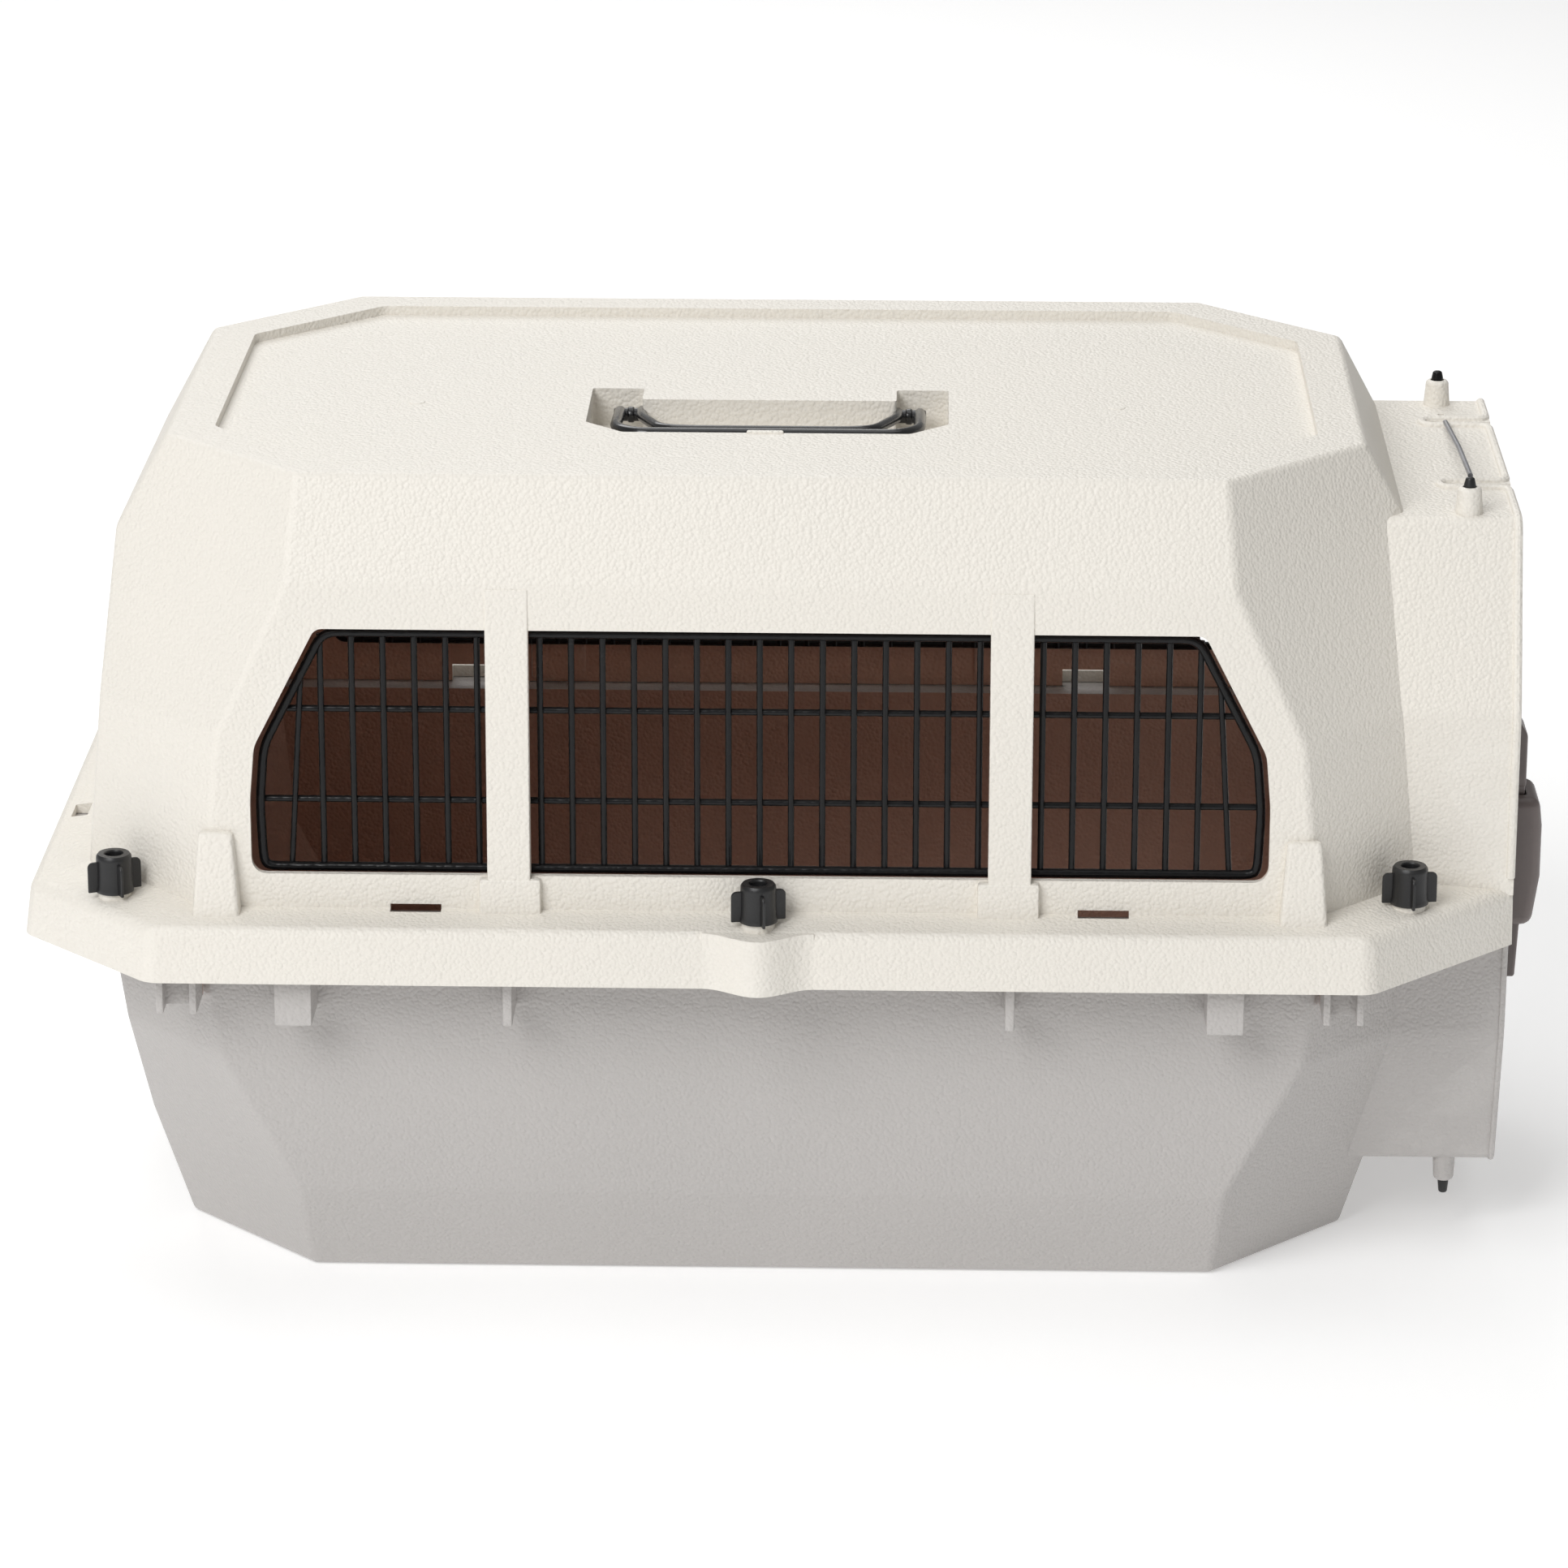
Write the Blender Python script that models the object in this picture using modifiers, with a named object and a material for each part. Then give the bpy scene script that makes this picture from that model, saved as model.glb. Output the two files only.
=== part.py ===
"""Pet transport carrier: two moulded plastic half shells bolted together at a wide flange.

Units are metres, +Z up.  The origin is the centre of the flat base face.  +X points to the door, and
the two long sides with their wire windows face -Y and +Y.  The carrier is symmetric about Y = 0
except for its door, which hinges at +Y and latches at -Y.
"""

import math

import bmesh
import bpy
from mathutils import Matrix, Vector

# Heights above the base
SEAT_Z = 0.165  # underside of the top shell's flange
FLANGE_Z = 0.168  # outer edge of the flange's top face
SKIRT_Z = 0.1454  # lower edge of the skirt that hangs from the flange
RIM_Z = 0.1647  # top of the bottom shell's rim
SHOULDER_Z = 0.306  # fold in the long walls of the top shell
ROOF_Z = 0.3477
WALL = 0.003
GAP = 0.0003

# Walls as (distance from the vertical axis, height) from the bottom up
TOP_FRONT = ((0.1632, 0.168), (0.1625, SHOULDER_Z), (0.1468, ROOF_Z))
TOP_END = ((0.278, 0.168), (0.2655, 0.3075), (0.2435, ROOF_Z))
TOP_CORNER = ((0.2744, 0.168), (0.2691, 0.2425), (0.2348, ROOF_Z))
LOW_FRONT = ((0.128, 0.0), (0.1475, 0.042), (0.152, FLANGE_Z))
LOW_END = ((0.244, 0.0), (0.258, 0.054), (0.2745, FLANGE_Z))
LOW_CORNER = ((0.2227, 0.0), (0.2623, 0.101), (0.2687, FLANGE_Z))
TOP_BOX = ((0.121, FLANGE_Z), (0.121, 0.2435), (0.0937, 0.318))
LOW_BOX = ((0.091, 0.0375), (0.1106, 0.1014), (0.1146, FLANGE_Z))

# Flange and skirt
FLANGE_X, FLANGE_Y, FLANGE_CORNER = 0.300, 0.182, 0.3016
FLANGE_RISE = 0.0028  # from the flange's edge up to the wall
NUT_SEAT_Z = 0.1710  # top of the flat pad under each wing nut
DOOR_X = 0.307  # plane of the door opening's edge
SKIRT_DRAFT = 0.0028
SLOT_X, SLOT_Y = 0.1385, 0.1645
LUG_X = 0.2186

# Windows
WINDOW = ((0.177, 0.288), (0.2025, 0.2383), (0.2045, 0.216), (0.2045, 0.189), (0.201, 0.185))
GRILLE = ((0.176, 0.2868), (0.2009, 0.2372), (0.2031, 0.2125), (0.2023, 0.1875), (0.199, 0.184))
GRILLE_Y = 0.1554
WIRE = 0.0026
FRAME_WIRE = 0.004
SMALLEST_CELL = 6e-6  # m2; a mesh opening smaller than this is left filled
WIRE_PITCH = 0.01256
GRILLE_RAILS = (0.2136, 0.2518)
PILLAR_X, PILLAR_WIDTH = 0.1006, 0.0173

# Door, hinged on an upright rod at +Y
BOX_TOP, BOX_FLOOR = 0.318, 0.0375
ROD_X, ROD_Y, ROD_R = 0.2862, 0.0855, 0.0023
SHEET_X = ROD_X - 0.0048  # the door's wires lie just behind its rods
DOOR_TOP, DOOR_FLOOR = 0.3085, 0.0470
DOOR_RAILS = (0.1075, 0.1675, 0.2345)
LATCH_Z = 0.175
SPRING_R = 0.0035
NOTCH_X, NOTCH_Y = 0.2800, (0.0540, -0.0440)  # slots in the top of the door box

# Carry handle in its pocket in the roof
PAN_Z = 0.3437
POCKET_Z = 0.3277
PIVOT_Y, PIVOT_Z, PIN_R = -0.0065, 0.3352, 0.002
PIN_MIDDLE, PIN_REACH = 0.0635, 0.0135

# Bolts and wing nuts
NUTS = ((-0.2625, 0.146), (0.0, 0.1752), (0.2625, 0.146))
BOLT_HOLE_R = 0.0034
FIN_REACH, FIN_HEIGHT, FIN_THICKNESS = 0.0112, 0.0128, 0.0018
BULGE_FOOT_R, BULGE_TOP_R = 0.0195, 0.0165  # the flange swells round the middle nut

PASS = 0.01  # how far a cutter runs past what it cuts

CREAM = (0.80, 0.76, 0.68)
GREY = (0.42, 0.40, 0.38)
TAUPE = (0.13, 0.11, 0.105)
BLACK = (0.012, 0.012, 0.013)
STEEL = (0.45, 0.46, 0.50)


def clear_scene():
    for old in list(bpy.data.objects):
        bpy.data.objects.remove(old, do_unlink=True)


def collection(name):
    group = bpy.data.collections.new(name)
    bpy.context.scene.collection.children.link(group)
    return group


def plastic(name, colour, roughness, metallic=0.0):
    material = bpy.data.materials.new(name)
    material.use_nodes = True
    shader = material.node_tree.nodes["Principled BSDF"]
    shader.inputs["Base Color"].default_value = (*colour, 1.0)
    shader.inputs["Roughness"].default_value = roughness
    shader.inputs["Metallic"].default_value = metallic
    return material


def piece(name, bm, material=None):
    """A mesh object from a finished bmesh: a part if it has a material, and otherwise a cutter."""
    mesh = bpy.data.meshes.new(name)
    bm.normal_update()
    bmesh.ops.recalc_face_normals(bm, faces=bm.faces)
    bm.to_mesh(mesh)
    bm.free()
    made = bpy.data.objects.new(name, mesh)
    if material:
        mesh.materials.append(material)
        parts.objects.link(made)
    else:
        cutters.objects.link(made)
        made.hide_render = True
        made.display_type = "WIRE"
    return made


def boolean(target, tool, operation):
    modifier = target.modifiers.new(f"{operation.title()} {tool.name}", "BOOLEAN")
    modifier.operation = operation
    modifier.object = tool
    modifier.solver = "EXACT"


def join(target, *tools):
    for tool in tools:
        boolean(target, tool, "UNION")


def cut(target, *tools):
    for tool in tools:
        boolean(target, tool, "DIFFERENCE")


def slant(angle, low, high):
    """The plane that faces angle (degrees in plan) and passes through two (distance, height) points."""
    rise, lean = high[1] - low[1], low[0] - high[0]
    across = Vector((math.cos(math.radians(angle)), math.sin(math.radians(angle)), 0.0))
    normal = (across * rise + Vector((0.0, 0.0, lean))).normalized()
    return across * low[0] + Vector((0.0, 0.0, low[1])), normal


def walls(profile, angles):
    """One plane for each step of the profile in each direction."""
    return [slant(angle, *step) for angle in angles for step in zip(profile, profile[1:])]


def level(height, up=True):
    return Vector((0.0, 0.0, height)), Vector((0.0, 0.0, 1.0 if up else -1.0))


def upright(angle, distance):
    return slant(angle, (distance, 0.0), (distance, 1.0))


def inset(planes, depth):
    return [(point - normal * depth, normal) for point, normal in planes]


def block(name, planes, material=None):
    """The convex solid inside all the planes: a cube trimmed by each in turn."""
    bm = bmesh.new()
    bmesh.ops.create_cube(bm, size=2.0)
    for point, normal in planes:
        everything = bm.verts[:] + bm.edges[:] + bm.faces[:]
        trimmed = bmesh.ops.bisect_plane(
            bm, geom=everything, dist=1e-6, plane_co=point, plane_no=normal, clear_outer=True
        )
        rim = [edge for edge in trimmed["geom_cut"] if isinstance(edge, bmesh.types.BMEdge)]
        bmesh.ops.contextual_create(bm, geom=rim)
    return piece(name, bm, material)


def brick(name, low, high, material=None):
    bm = bmesh.new()
    size = Vector(high) - Vector(low)
    bmesh.ops.create_cube(bm, size=1.0)
    bmesh.ops.scale(bm, vec=size, verts=bm.verts)
    bmesh.ops.translate(bm, vec=(Vector(high) + Vector(low)) / 2, verts=bm.verts)
    return piece(name, bm, material)


def prism(name, outline, low, high, axis="Z", material=None):
    """A closed outline pushed along an axis: (x, y) for Z, and (x, z) for Y."""
    bm = bmesh.new()
    place = {"Z": lambda u, v: (u, v, low), "Y": lambda u, v: (u, low, v)}[axis]
    shift = {"Z": (0.0, 0.0, high - low), "Y": (0.0, high - low, 0.0)}[axis]
    face = bm.faces.new([bm.verts.new(place(u, v)) for u, v in outline])
    pushed = bmesh.ops.extrude_face_region(bm, geom=[face])["geom"]
    moved = [item for item in pushed if isinstance(item, bmesh.types.BMVert)]
    bmesh.ops.translate(bm, vec=shift, verts=moved)
    return piece(name, bm, material)


def cone(name, centre, low, high, radius, tip=None, sides=16, axis="Z", material=None):
    """A cylinder or cone along an axis between two coordinates on it; centre is the other two."""
    bm = bmesh.new()
    tip = radius if tip is None else tip
    bmesh.ops.create_cone(
        bm, cap_ends=True, segments=sides, radius1=radius, radius2=tip, depth=high - low
    )
    middle = (low + high) / 2
    if axis == "X":
        bmesh.ops.rotate(bm, matrix=Matrix.Rotation(math.pi / 2, 3, "Y"), verts=bm.verts)
        where = (middle, *centre)
    else:
        where = (*centre, middle)
    bmesh.ops.translate(bm, vec=where, verts=bm.verts)
    return piece(name, bm, material)


def mirrored(points):
    """A left-right symmetric closed outline from its right half, listed top to bottom."""
    return [*points, *[(-x, y) for x, y in reversed(points)]]


def set_pivot(part, point):
    """Moves a part's origin to a point on its joint's axis, and leaves its shape where it is."""
    part.data.transform(Matrix.Translation(-Vector(point)))
    part.location = point


SIDES = (-90, 90)
ENDS = (0, 180)
CORNERS = (45, 135, 225, 315)


def shell_planes(front, end, corner):
    return walls(front, SIDES) + walls(end, ENDS) + walls(corner, CORNERS)


def flange_sides():
    """(direction, distance to the edge, distance to the wall's foot) of each side but the door's."""
    return (
        [(180, FLANGE_X, TOP_END[0][0])]
        + [(angle, FLANGE_Y, TOP_FRONT[0][0]) for angle in SIDES]
        + [(angle, FLANGE_CORNER, TOP_CORNER[0][0]) for angle in CORNERS]
    )


def flange_planes(shrink):
    """The skirt's drafted sides, moved inwards by shrink and left open towards the door."""
    spread = SKIRT_DRAFT - shrink
    return [
        slant(angle, (edge + spread, SKIRT_Z), (edge - shrink, FLANGE_Z)) for angle, edge, _ in flange_sides()
    ]


def flange_top():
    """The flange's gently rising top faces, which drain outwards."""
    return [
        slant(angle, (edge, FLANGE_Z), (wall, FLANGE_Z + FLANGE_RISE)) for angle, edge, wall in flange_sides()
    ]


def door_box(name, profile, low, high, shrink, near, far):
    planes = inset(walls(profile, SIDES), shrink)
    return block(name, planes + [level(high), level(low, up=False), upright(0, far), upright(180, -near)])


def build_top_shell():
    planes = shell_planes(TOP_FRONT, TOP_END, TOP_CORNER)
    shell = block("top_shell", planes + [level(ROOF_Z), level(SEAT_Z, up=False)], cream)
    flange = block(
        "flange_solid", flange_planes(0.0) + flange_top() + [level(SKIRT_Z, up=False), upright(0, DOOR_X)]
    )
    box = door_box("top_box_solid", TOP_BOX, SEAT_Z + 0.0008, BOX_TOP, 0.0, 0.20, DOOR_X)
    join(shell, flange, box)
    for side in (-1, 1):
        bulge = cone(
            f"bulge_{side}",
            (0.0, side * NUTS[1][1]),
            SKIRT_Z,
            FLANGE_Z + 0.0010,
            BULGE_FOOT_R,
            BULGE_TOP_R,
            sides=24,
        )
        join(shell, bulge)
    for side in (-1, 1):
        boss = cone(f"boss_{side}", (ROD_X, side * ROD_Y), BOX_TOP - 0.002, 0.3290, 0.0057, 0.0048)
        join(shell, boss)

    cabin = block("top_cabin", inset(planes, WALL) + [level(PAN_Z - WALL), level(SKIRT_Z - 0.01, up=False)])
    mouth = door_box("top_mouth", TOP_BOX, SKIRT_Z - 0.01, BOX_TOP - WALL, WALL, 0.21, DOOR_X + 0.02)
    under = block(
        "under_flange",
        flange_planes(WALL) + [level(SEAT_Z), level(SKIRT_Z - PASS, up=False), upright(0, DOOR_X + PASS)],
    )
    cut(shell, cabin, mouth, under)
    for side in (-1, 1):
        hollow = cone(
            f"bulge_hollow_{side}",
            (0.0, side * NUTS[1][1]),
            SKIRT_Z - 0.002,
            SEAT_Z + GAP,
            BULGE_FOOT_R - WALL,
            BULGE_TOP_R - WALL,
            sides=24,
        )
        cut(shell, hollow)

    housing = prism("pocket_housing", mirrored(pocket_outline(WALL)), POCKET_Z - WALL, PAN_Z - 0.001)
    pocket = prism("pocket", mirrored(pocket_outline(0.0)), POCKET_Z, ROOF_Z + 0.01)
    pan = prism("roof_pan", pan_outline(), PAN_Z, ROOF_Z + 0.01)
    join(shell, housing)
    cut(shell, pocket, pan)

    for side in (-1, 1):
        window = prism(f"window_{side}", mirrored(WINDOW), side * 0.150, side * 0.175, "Y")
        cut(shell, window)
        for end in (-1, 1):
            join(shell, pillar(side, end), lug(side, end))
            slot = brick(
                f"flange_slot_{side}_{end}",
                (end * SLOT_X - 0.0097, side * SLOT_Y - 0.0035, SEAT_Z - 0.01),
                (end * SLOT_X + 0.0097, side * SLOT_Y + 0.0035, FLANGE_Z + 0.01),
            )
            cut(shell, slot)
        end_slot = brick(
            f"end_slot_{side}",
            (-0.2940, side * 0.0395 - 0.008, SEAT_Z - 0.01),
            (-0.2870, side * 0.0395 + 0.008, FLANGE_Z + 0.01),
        )
        pin_hole = cone(f"top_rod_hole_{side}", (ROD_X, side * ROD_Y), BOX_TOP - 0.01, 0.34, ROD_R + 0.0005)
        cut(shell, end_slot, pin_hole)
        pivot_hole = cone(
            f"pivot_hole_{side}",
            (PIVOT_Y, PIVOT_Z),
            side * PIN_MIDDLE - PIN_REACH,
            side * PIN_MIDDLE + PIN_REACH,
            PIN_R + GAP,
            axis="X",
        )
        cut(shell, pivot_hole)
    for y in NOTCH_Y:
        cut(shell, brick(f"box_notch_{y}", (NOTCH_X, y - 0.002, BOX_TOP - 0.01), (0.32, y + 0.002, 0.33)))
    for x, y in NUTS:
        for side in (-1, 1):
            pad = cone(f"nut_pad_{x}_{side}", (x, side * y), SEAT_Z + 0.001, NUT_SEAT_Z, 0.0105, sides=24)
            join(shell, pad)
            hole = cone(
                f"bolt_hole_{x}_{side}", (x, side * y), SEAT_Z - PASS, FLANGE_Z + PASS, BOLT_HOLE_R, sides=12
            )
            cut(shell, hole)
    return shell


def pocket_outline(grow):
    """Right half of the handle pocket's outline: a bay for the grip with an ear for each pivot."""
    g = grow
    return [
        (0.0530 - g, -0.0135 + g),
        (0.0530 - g, 0.0040 + g),
        (0.0747 + g, 0.0040 + g),
        (0.0747 + g, -0.0500),
        (0.0590 + g, -0.0655 - g),
    ]


def pan_outline():
    x, y, corner = 0.2248, 0.1275, 0.0515
    return [
        (x, y - corner), (x - corner, y), (corner - x, y), (-x, y - corner),
        (-x, corner - y), (corner - x, -y), (x - corner, -y), (x, corner - y),
    ]


def pillar(side, end):
    """A post across the window: flush with the wall at the shoulder and proud of it at its foot."""
    angle = 90 * side
    face = slant(angle, (0.1672, FLANGE_Z), (0.1628, SHOULDER_Z))
    back = slant(-angle, (-0.1590, FLANGE_Z), (-0.1590, SHOULDER_Z))
    x = end * PILLAR_X
    sides = [
        (Vector((x + flank * PILLAR_WIDTH / 2, 0.0, 0.0)), Vector((flank, 0.0, 0.0))) for flank in (-1, 1)
    ]
    ends = [level(SHOULDER_Z - 0.001), level(SEAT_Z + 0.001, up=False)]
    return block(f"pillar_{side}_{end}", [face, back, *sides, *ends])


def lug(side, end):
    """A tapered stop block in the angle between wall and flange."""
    angle = 90 * side
    face = slant(angle, (0.1725, FLANGE_Z), (0.1660, 0.203))
    back = slant(-angle, (-0.1610, FLANGE_Z), (-0.1610, 0.203))
    x = end * LUG_X
    flanks = []
    for flank in (-1, 1):
        low, high = Vector((x + flank * 0.0097, 0.0, FLANGE_Z)), Vector((x + flank * 0.0070, 0.0, 0.203))
        slope = high - low
        flanks.append((low, Vector((flank * slope.z, 0.0, -flank * slope.x)).normalized()))
    return block(f"lug_{side}_{end}", [face, back, *flanks, level(0.203), level(SEAT_Z + 0.001, up=False)])


def build_bottom_shell():
    planes = shell_planes(LOW_FRONT, LOW_END, LOW_CORNER)
    shell = block("bottom_shell", planes + [level(RIM_Z), level(0.0, up=False)], grey)
    rim = block(
        "rim_solid",
        [
            *flange_planes(WALL + 0.0005),
            level(RIM_Z),
            level(RIM_Z - WALL, up=False),
            upright(0, DOOR_X - 0.0005),
        ],
    )
    box = door_box("low_box_solid", LOW_BOX, BOX_FLOOR, RIM_Z, 0.0, 0.20, DOOR_X - 0.0005)
    join(shell, rim, box)
    for side in (-1, 1):
        rim_bulge = cone(f"rim_bulge_{side}", (0.0, side * NUTS[1][1]), RIM_Z - WALL, RIM_Z, 0.0125, sides=24)
        join(shell, rim_bulge)
        boss = cone(f"low_boss_{side}", (ROD_X, side * ROD_Y), 0.0265, BOX_FLOOR + 0.002, 0.0046)
        join(shell, boss)
        for x, width, foot in ((-0.235, 0.018, 0.127), (-0.188, 0.015, 0.124), (-0.1013, 0.004, 0.1247)):
            for end in (-1, 1):
                join(shell, rib(side, -end * x, width, foot))
    cabin = block("low_cabin", inset(planes, WALL) + [level(RIM_Z + 0.01), level(WALL, up=False)])
    mouth = door_box("low_mouth", LOW_BOX, BOX_FLOOR + WALL, RIM_Z + 0.01, WALL, 0.21, DOOR_X + 0.02)
    cut(shell, cabin, mouth)
    for side in (-1, 1):
        cut(shell, cone(f"low_rod_hole_{side}", (ROD_X, side * ROD_Y), 0.01, 0.05, ROD_R + 0.0005))
        for x, y in NUTS:
            hole = cone(f"rim_hole_{x}_{side}", (x, side * y), RIM_Z - 0.01, RIM_Z + 0.01, 0.0034, sides=12)
            cut(shell, hole)
    return shell


def rib(side, x, width, foot):
    """A stiffening block under the rim, from the wall out to just inside the skirt."""
    reach = 0.1755 if abs(x) < 0.22 else 0.1715
    low = (x - width / 2, min(side * 0.148, side * reach), foot)
    high = (x + width / 2, max(side * 0.148, side * reach), RIM_Z - WALL / 2)
    return brick(f"rib_{side}_{x:.3f}", low, high)


def wire_sheet(name, outer, frame, bars, rails, bar_width, rail_width, thickness, plane, material):
    """A wire grille as one flat sheet: its outline with a hole for each mesh opening.

    outer is the closed outline, frame the wire's width at its edge; bars and rails are the wires'
    centre lines.  plane maps the sheet's (u, v, w) to the part's axes.
    """
    window = shrunk(outer, frame)
    edges_u = [min(u for u, _ in window) - 1.0, *bars, max(u for u, _ in window) + 1.0]
    edges_v = [min(v for _, v in window) - 1.0, *rails, max(v for _, v in window) + 1.0]
    cells = bmesh.new()
    for left, right in zip(edges_u, edges_u[1:]):
        for low, high in zip(edges_v, edges_v[1:]):
            cell = window
            for axis, limit, keep in (
                (0, left + bar_width / 2, 1), (0, right - bar_width / 2, -1),
                (1, low + rail_width / 2, 1), (1, high - rail_width / 2, -1),
            ):
                cell = trimmed(cell, axis, limit, keep)
            if len(cell) > 2 and abs(area(cell)) > SMALLEST_CELL:
                add_slab(cells, cell, thickness)
    sheet = bmesh.new()
    add_slab(sheet, outer, thickness / 2)
    for bm in (sheet, cells):
        for vert in bm.verts:
            vert.co = plane(*vert.co)
    made = piece(name, sheet, material)
    cut(made, piece(name + "_cells", cells))
    return made


def add_slab(bm, outline, half):
    """Adds a closed outline in (u, v), made solid by half its thickness to both sides."""
    face = bm.faces.new([bm.verts.new((u, v, -half)) for u, v in outline])
    pushed = bmesh.ops.extrude_face_region(bm, geom=[face])["geom"]
    moved = [item for item in pushed if isinstance(item, bmesh.types.BMVert)]
    bmesh.ops.translate(bm, vec=(0.0, 0.0, 2 * half), verts=moved)


def area(points):
    return sum(a[0] * b[1] - b[0] * a[1] for a, b in zip(points, points[1:] + points[:1])) / 2


def trimmed(points, axis, limit, keep):
    """The part of a convex outline on one side of a line across an axis."""
    kept = []
    for a, b in zip(points, points[1:] + points[:1]):
        inside_a, inside_b = (a[axis] - limit) * keep >= 0, (b[axis] - limit) * keep >= 0
        if inside_a:
            kept.append(a)
        if inside_a != inside_b:
            t = (limit - a[axis]) / (b[axis] - a[axis])
            kept.append((a[0] + (b[0] - a[0]) * t, a[1] + (b[1] - a[1]) * t))
    return kept


def shrunk(points, depth):
    """A convex outline moved inwards by a depth."""
    turn = 1.0 if area(points) > 0 else -1.0
    cell = [(-1.0, -1.0), (1.0, -1.0), (1.0, 1.0), (-1.0, 1.0)]
    for a, b in zip(points, points[1:] + points[:1]):
        length = math.hypot(b[0] - a[0], b[1] - a[1])
        normal = (-(b[1] - a[1]) * turn / length, (b[0] - a[0]) * turn / length)
        offset = a[0] * normal[0] + a[1] * normal[1] + depth
        kept = []
        for p, q in zip(cell, cell[1:] + cell[:1]):
            dp = p[0] * normal[0] + p[1] * normal[1] - offset
            dq = q[0] * normal[0] + q[1] * normal[1] - offset
            if dp >= 0:
                kept.append(p)
            if (dp >= 0) != (dq >= 0):
                t = dp / (dp - dq)
                kept.append((p[0] + (q[0] - p[0]) * t, p[1] + (q[1] - p[1]) * t))
        cell = kept
    return cell


def build_grilles():
    bars = [WIRE_PITCH * step for step in range(-14, 15)]
    for name, side in (("front_grille", -1), ("back_grille", 1)):
        wire_sheet(
            name, mirrored(GRILLE), FRAME_WIRE, bars, GRILLE_RAILS, WIRE, WIRE, FRAME_WIRE,
            lambda u, v, w, side=side: (u, side * GRILLE_Y + w, v), black,
        )


def door_outline():
    """The door follows the opening: wide at the flange and narrower at the top and the bottom."""
    half = [(0.0860, DOOR_TOP), (0.1120, 0.2400), (0.1085, 0.1680), (0.1030, 0.1014), (0.0860, DOOR_FLOOR)]
    return mirrored(half)


def build_door():
    bars = [0.0127 * step for step in range(-8, 9)]
    door = wire_sheet(
        "wire_door", door_outline(), FRAME_WIRE, bars, DOOR_RAILS, WIRE, FRAME_WIRE, FRAME_WIRE,
        lambda u, v, w: (SHEET_X + w, u, v), black,
    )
    rod = cone("hinge_rod_solid", (ROD_X, ROD_Y), 0.0210, 0.3328, ROD_R, sides=12)
    join(door, rod)
    for height in DOOR_RAILS:
        knuckle = brick(
            f"knuckle_{height}",
            (SHEET_X, ROD_Y - 0.002, height - 0.003),
            (ROD_X, ROD_Y + 0.002, height + 0.003),
        )
        join(door, knuckle)
    seat = brick(
        "latch_seat",
        (SHEET_X, -ROD_Y - 0.012, LATCH_Z - 0.020),
        (ROD_X + 0.0035, -ROD_Y + 0.014, LATCH_Z + 0.020),
    )
    join(door, seat)
    set_pivot(door, (ROD_X, ROD_Y, 0.0))
    return door


def build_latch():
    """A grip on the door with a slider above and below it, each carrying a bolt rod."""
    x0, y0 = ROD_X + 0.0038, -ROD_Y - 0.0155
    y1 = y0 + 0.031
    housing = brick("latch_housing", (x0, y0, LATCH_Z - 0.034), (0.3200, y1, LATCH_Z + 0.034), taupe)
    channel = brick(
        "latch_channel", (x0 - 0.01, y0 + 0.006, LATCH_Z - 0.05), (0.3075, y1 - 0.006, LATCH_Z + 0.05)
    )
    web = brick("latch_web", (x0, y0, LATCH_Z - 0.004), (0.3080, y1, LATCH_Z + 0.004))
    bevel = housing.modifiers.new("Soft grip", "BEVEL")
    bevel.width, bevel.segments = 0.0015, 1
    cut(housing, channel)
    join(housing, web)
    set_pivot(housing, (ROD_X, ROD_Y, 0.0))
    for name, sign, tip in (("upper", 1, 0.3330), ("lower", -1, 0.0204)):
        near, far = LATCH_Z + sign * 0.0285, LATCH_Z + sign * 0.0635
        slider = brick(
            f"latch_{name}_slider",
            (x0 + 0.0005, y0 + 0.0063, min(near, far)), (0.3072, y1 - 0.0063, max(near, far)), taupe,
        )
        rod_from = LATCH_Z + sign * 0.0500
        crank = brick(
            f"{name}_rod_seat",
            (ROD_X - ROD_R, -ROD_Y - 0.0030, min(rod_from, far)),
            (x0 + 0.001, -ROD_Y + 0.0030, max(rod_from, far)),
        )
        rod_ends = sorted((far + sign * GAP, tip))
        cone(f"latch_{name}_rod", (ROD_X, -ROD_Y), *rod_ends, ROD_R, sides=12, material=black)
        join(slider, crank)
        middle = ((x0 + 0.3072) / 2, -ROD_Y)
        spring_ends = sorted((LATCH_Z + sign * 0.0045, near - sign * GAP))
        spring = cone(f"latch_{name}_spring", middle, *spring_ends, SPRING_R, sides=10, material=steel)
        bore = cone(f"{name}_spring_bore", middle, 0.0, 0.4, SPRING_R - 0.0013, sides=8)
        cut(spring, bore)


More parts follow.
